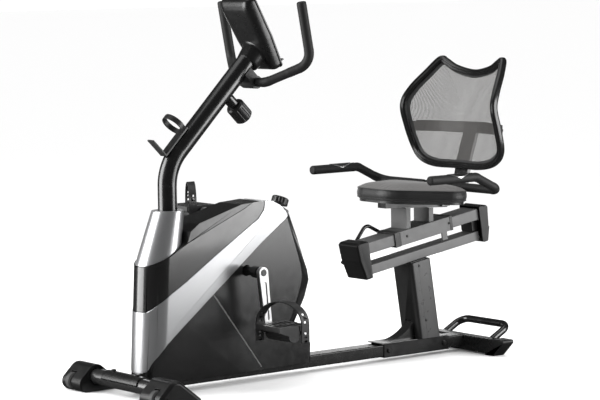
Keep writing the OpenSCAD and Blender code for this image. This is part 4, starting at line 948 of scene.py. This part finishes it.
def add_pads(bm):
    for side in (-1, 1):
        start = (
            Matrix.Translation(bow_centre)
            @ Matrix.Rotation(side * pad_from, 4, "Z")
            @ Matrix.Translation((bow_radius + pad_thick / 2, 0, 0))
            @ Matrix.Rotation(math.pi / 2, 4, "X")
            @ Matrix.Diagonal((pad_thick, pad_tall, 1, 1))
        )
        pad = bmesh.new()
        bmesh.ops.create_grid(pad, x_segments=1, y_segments=1, size=0.5, matrix=start)
        bmesh.ops.spin(
            pad, geom=pad.verts[:] + pad.edges[:] + pad.faces[:], cent=bow_centre, axis=(0, 0, 1),
            angle=side * pad_sweep, steps=6, use_duplicate=False,
        )
        bmesh.ops.remove_doubles(pad, verts=pad.verts, dist=1e-6)
        bmesh.ops.holes_fill(pad, edges=pad.edges)
        bmesh.ops.recalc_face_normals(pad, faces=pad.faces)
        round_edges(pad, pad_round)
        join_mesh(bm, pad)


rim_plastic = skin_finish(
    "rim plastic", grey(0.005), grey(0.007), rough=(0.18, 0.26), grain=1100.0, bump=0.04, rub=0.04
)
bm = make_hoop()
add_pads(bm)
stand_in(bm, "backrest_frame", [rim_plastic])


# Backrest net: a knitted polyester net, dished between the wings and stretched into the groove of the rim.
# A woven tape is sewn round its edge; between the threads it is open.
net_mid_share = 0.45
net_mid = back_low + net_mid_share * back_tall
net_shares = (1, 0.94, 0.9, 0.8, 0.7, 0.6, 0.5, 0.4, 0.3, 0.2, 0.1)
net_tuck = 0.009
rib_pitch, rib_share = 0.0034, 0.60
strand_pitch, strand_share = 0.0042, 0.34


def make_net():
    finish, tree, shader = new_finish("stretched net", {"Specular IOR Level": 0.3})
    place = object_place(tree)
    axes = add_node(tree, "ShaderNodeSeparateXYZ", {"Vector": place}).outputs
    covers = []
    for axis, pitch, share in (("Z", rib_pitch, rib_share), ("Y", strand_pitch, strand_share)):
        from_middle = maths(tree, "PINGPONG", axes[axis], pitch / 2)
        covers.append(maths(tree, "LESS_THAN", from_middle, share * pitch / 2))
    cloud = clouds(tree, place, scale=30.0, detail=3.0)
    tone = mixed(tree, cloud, grey(0.055, 0.04), grey(0.078, 0.04))
    tree.links.new(tone, shader.inputs["Base Color"])
    tree.links.new(spread(tree, cloud, low=0.55, high=0.7), shader.inputs["Roughness"])
    tree.links.new(maths(tree, "MAXIMUM", *covers), shader.inputs["Alpha"])
    return finish


def net_place(edge, share):
    up = net_mid + share * (edge.z - net_mid)
    reach = back_foot + (edge.z - back_low) * math.tan(back_lean) - edge.x
    return Vector((
        back_foot + (up - back_low) * math.tan(back_lean) - reach * share * share, share * edge.y, up
    ))


def make_net_sheet():
    points = list(hoop_line())
    count = len(points)
    edge = []
    for i, point in enumerate(points):
        along = points[(i + 1) % count] - points[i - 1]
        outward = along.cross(Vector((1, 0, 0))).normalized()
        edge.append(point - net_tuck * outward)
    bm = bmesh.new()
    loops = [add_ring(bm, [net_place(point, share) for point in edge]) for share in net_shares]
    tape = bmesh.ops.bridge_loops(bm, edges=loops[0] + loops[1])["faces"]
    for outer, inner in zip(loops[1:], loops[2:]):
        bmesh.ops.bridge_loops(bm, edges=outer + inner)
    middle = bmesh.ops.contextual_create(bm, geom=loops[-1])["faces"]
    bmesh.ops.poke(bm, faces=middle)
    for face in tape:
        face.material_index = 1
    bmesh.ops.recalc_face_normals(bm, faces=bm.faces)
    if sum(face.normal.x for face in bm.faces) > 0:
        bmesh.ops.reverse_faces(bm, faces=bm.faces)
    return bm


tape_weave = skin_finish(
    "edge tape", grey(0.010), grey(0.016), rough=(0.6, 0.7), grain=900.0, bump=0.4, rub=0.0
)
net_sheet = finish_piece(
    make_net_sheet(), "backrest_net", "seat", slot_of["backrest_mesh"], [make_net(), tape_weave],
    ("backrest_mesh",),
)


# Bolts and screws: blackened steel. The screws are pan heads with a round socket, on both sides of the
# carriage, of the post covers and of the base spine, each seated on the face that it holds. Those on the
# spine lie under the sleeve of the post.
bolt_black = skin_finish(
    "bolt black", grey(0.008), grey(0.012), rough=(0.3, 0.4), grain=900.0, bump=0.05, rub=0.0,
    sockets={"Metallic": 0.3},
)
screw_black = skin_finish(
    "screw black", grey(0.012), grey(0.02), rough=(0.3, 0.4), grain=900.0, bump=0.05, rub=0.1,
    sockets={"Metallic": 0.3},
)
coat(bolt_black, "frame_bolts", "seat_bolts")
head_profile = [(0, 0.4), (0.45, 0.4), (0.5, 1), (0.8, 0.9), (1, 0.45), (1, -0.3), (0, -0.3)]
head_share, head_sides = 0.45, 20
screw_spots = {
    "carriage_screws": ("seat", "carriage_sleeve", 0.0045, [(0.3846, 0.415), (0.5706, 0.444)]),
    "post_screws": ("frame", "post_covers", 0.0045, [(0.4316, 0.3125), (0.4612, 0.1272)]),
    "base_screws": ("frame", "base_rail", 0.005, [(0.3349, 0.040), (0.42, 0.040)]),
}


def add_screw(bm, spot, normal, radius):
    tall = head_share * radius
    head = bmesh.new()
    line = [head.verts.new((radius * out, 0, tall * up)) for out, up in head_profile]
    for a, b in zip(line, line[1:]):
        head.edges.new((a, b))
    bmesh.ops.spin(
        head, geom=head.verts[:] + head.edges[:], cent=(0, 0, 0), axis=(0, 0, 1), angle=math.tau,
        steps=head_sides, use_merge=True,
    )
    bmesh.ops.remove_doubles(head, verts=head.verts, dist=1e-7)
    bmesh.ops.recalc_face_normals(head, faces=head.faces)
    seat = Matrix.Translation(spot) @ normal.to_track_quat("Z", "Y").to_matrix().to_4x4()
    bmesh.ops.transform(head, matrix=seat, verts=head.verts)
    join_mesh(bm, head)


for name, (body, node, radius, spots) in screw_spots.items():
    surface = surface_of(node)
    bm = bmesh.new()
    for along, up in spots:
        for side in (-1, 1):
            spot, normal = seen_from_side(surface, along, up, side)
            if spot:
                add_screw(bm, spot, normal, radius)
    finish_piece(bm, name, body, slot_of[node], [screw_black])


# Studio: a wide pale floor in a white room, tall soft boxes left and right, one overhead, a low card behind.
# Floor and room mirror dark in glossy faces, as black cards would make them. The camera has a long lens and
# stands in front, to the left.
floor_half = 60
camera_at = Vector((-4.88475, -6.100, 1.3105))
camera_azimuth, camera_rise, camera_roll = (math.radians(turn) for turn in (-38.57, 4.93, 0.9))


def mirror_tone(tree, seen, mirrored):
    glossy = add_node(tree, "ShaderNodeLightPath").outputs["Is Glossy Ray"]
    return mixed(tree, glossy, grey(seen), grey(mirrored))


def make_floor():
    bm = bmesh.new()
    bmesh.ops.create_grid(bm, x_segments=1, y_segments=1, size=floor_half)
    floor = add_object("floor", mesh_of(bm, "floor"))
    finish, tree, shader = new_finish("pale floor", {"Roughness": 0.9, "Specular IOR Level": 0.1})
    tree.links.new(mirror_tone(tree, seen=0.97, mirrored=0.05), shader.inputs["Base Color"])
    floor.data.materials.append(finish)


def make_room():
    world = bpy.data.worlds.new("white room")
    scene.world = world
    world.use_nodes = True
    tree = world.node_tree
    backdrop = tree.nodes["Background"]
    backdrop.inputs["Strength"].default_value = 1.06
    tree.links.new(mirror_tone(tree, seen=1.0, mirrored=0.06), backdrop.inputs["Color"])


def soft_box(name, at, towards, size, power):
    lamp = bpy.data.lights.new(name, "AREA")
    lamp.shape = "RECTANGLE"
    lamp.size, lamp.size_y = size
    lamp.energy = power
    box = add_object(name, lamp)
    box.location = at
    box.rotation_euler = (Vector(towards) - Vector(at)).to_track_quat("-Z", "Y").to_euler()
    box.visible_camera = False


def make_camera():
    right = Vector((math.cos(camera_azimuth), math.sin(camera_azimuth), 0))
    level = math.cos(camera_rise)
    back = Vector((
        math.sin(camera_azimuth) * level, -math.cos(camera_azimuth) * level, math.sin(camera_rise)
    ))
    axes = Matrix((right, back.cross(right), back)).transposed()
    turned = (Matrix.Rotation(camera_roll, 3, "Y") @ axes).to_4x4()
    lens = bpy.data.cameras.new("camera")
    lens.lens = 146.0
    lens.sensor_width = 36.0
    lens.clip_end = 200.0
    camera = add_object("camera", lens)
    camera.matrix_world = Matrix.Translation(camera_at) @ turned
    scene.camera = camera


make_floor()
make_room()
soft_box("left box", at=(-2.5, 1.25, 1.25), towards=(-0.3, 0, 1.05), size=(1.8, 2.5), power=120)
soft_box("right box", at=(1.9, -2.2, 0.95), towards=(0.1, 0, 0.5), size=(1.6, 1.8), power=72)
soft_box("top box", at=(0.2, 0.2, 3.0), towards=(0.1, 0, 0.5), size=(3.0, 2.0), power=32)
soft_box("rear card", at=(2.1, 2.4, 0.45), towards=(0.2, 0, 0.3), size=(4.0, 0.9), power=16)
make_camera()
scene.view_settings.view_transform = "Standard"
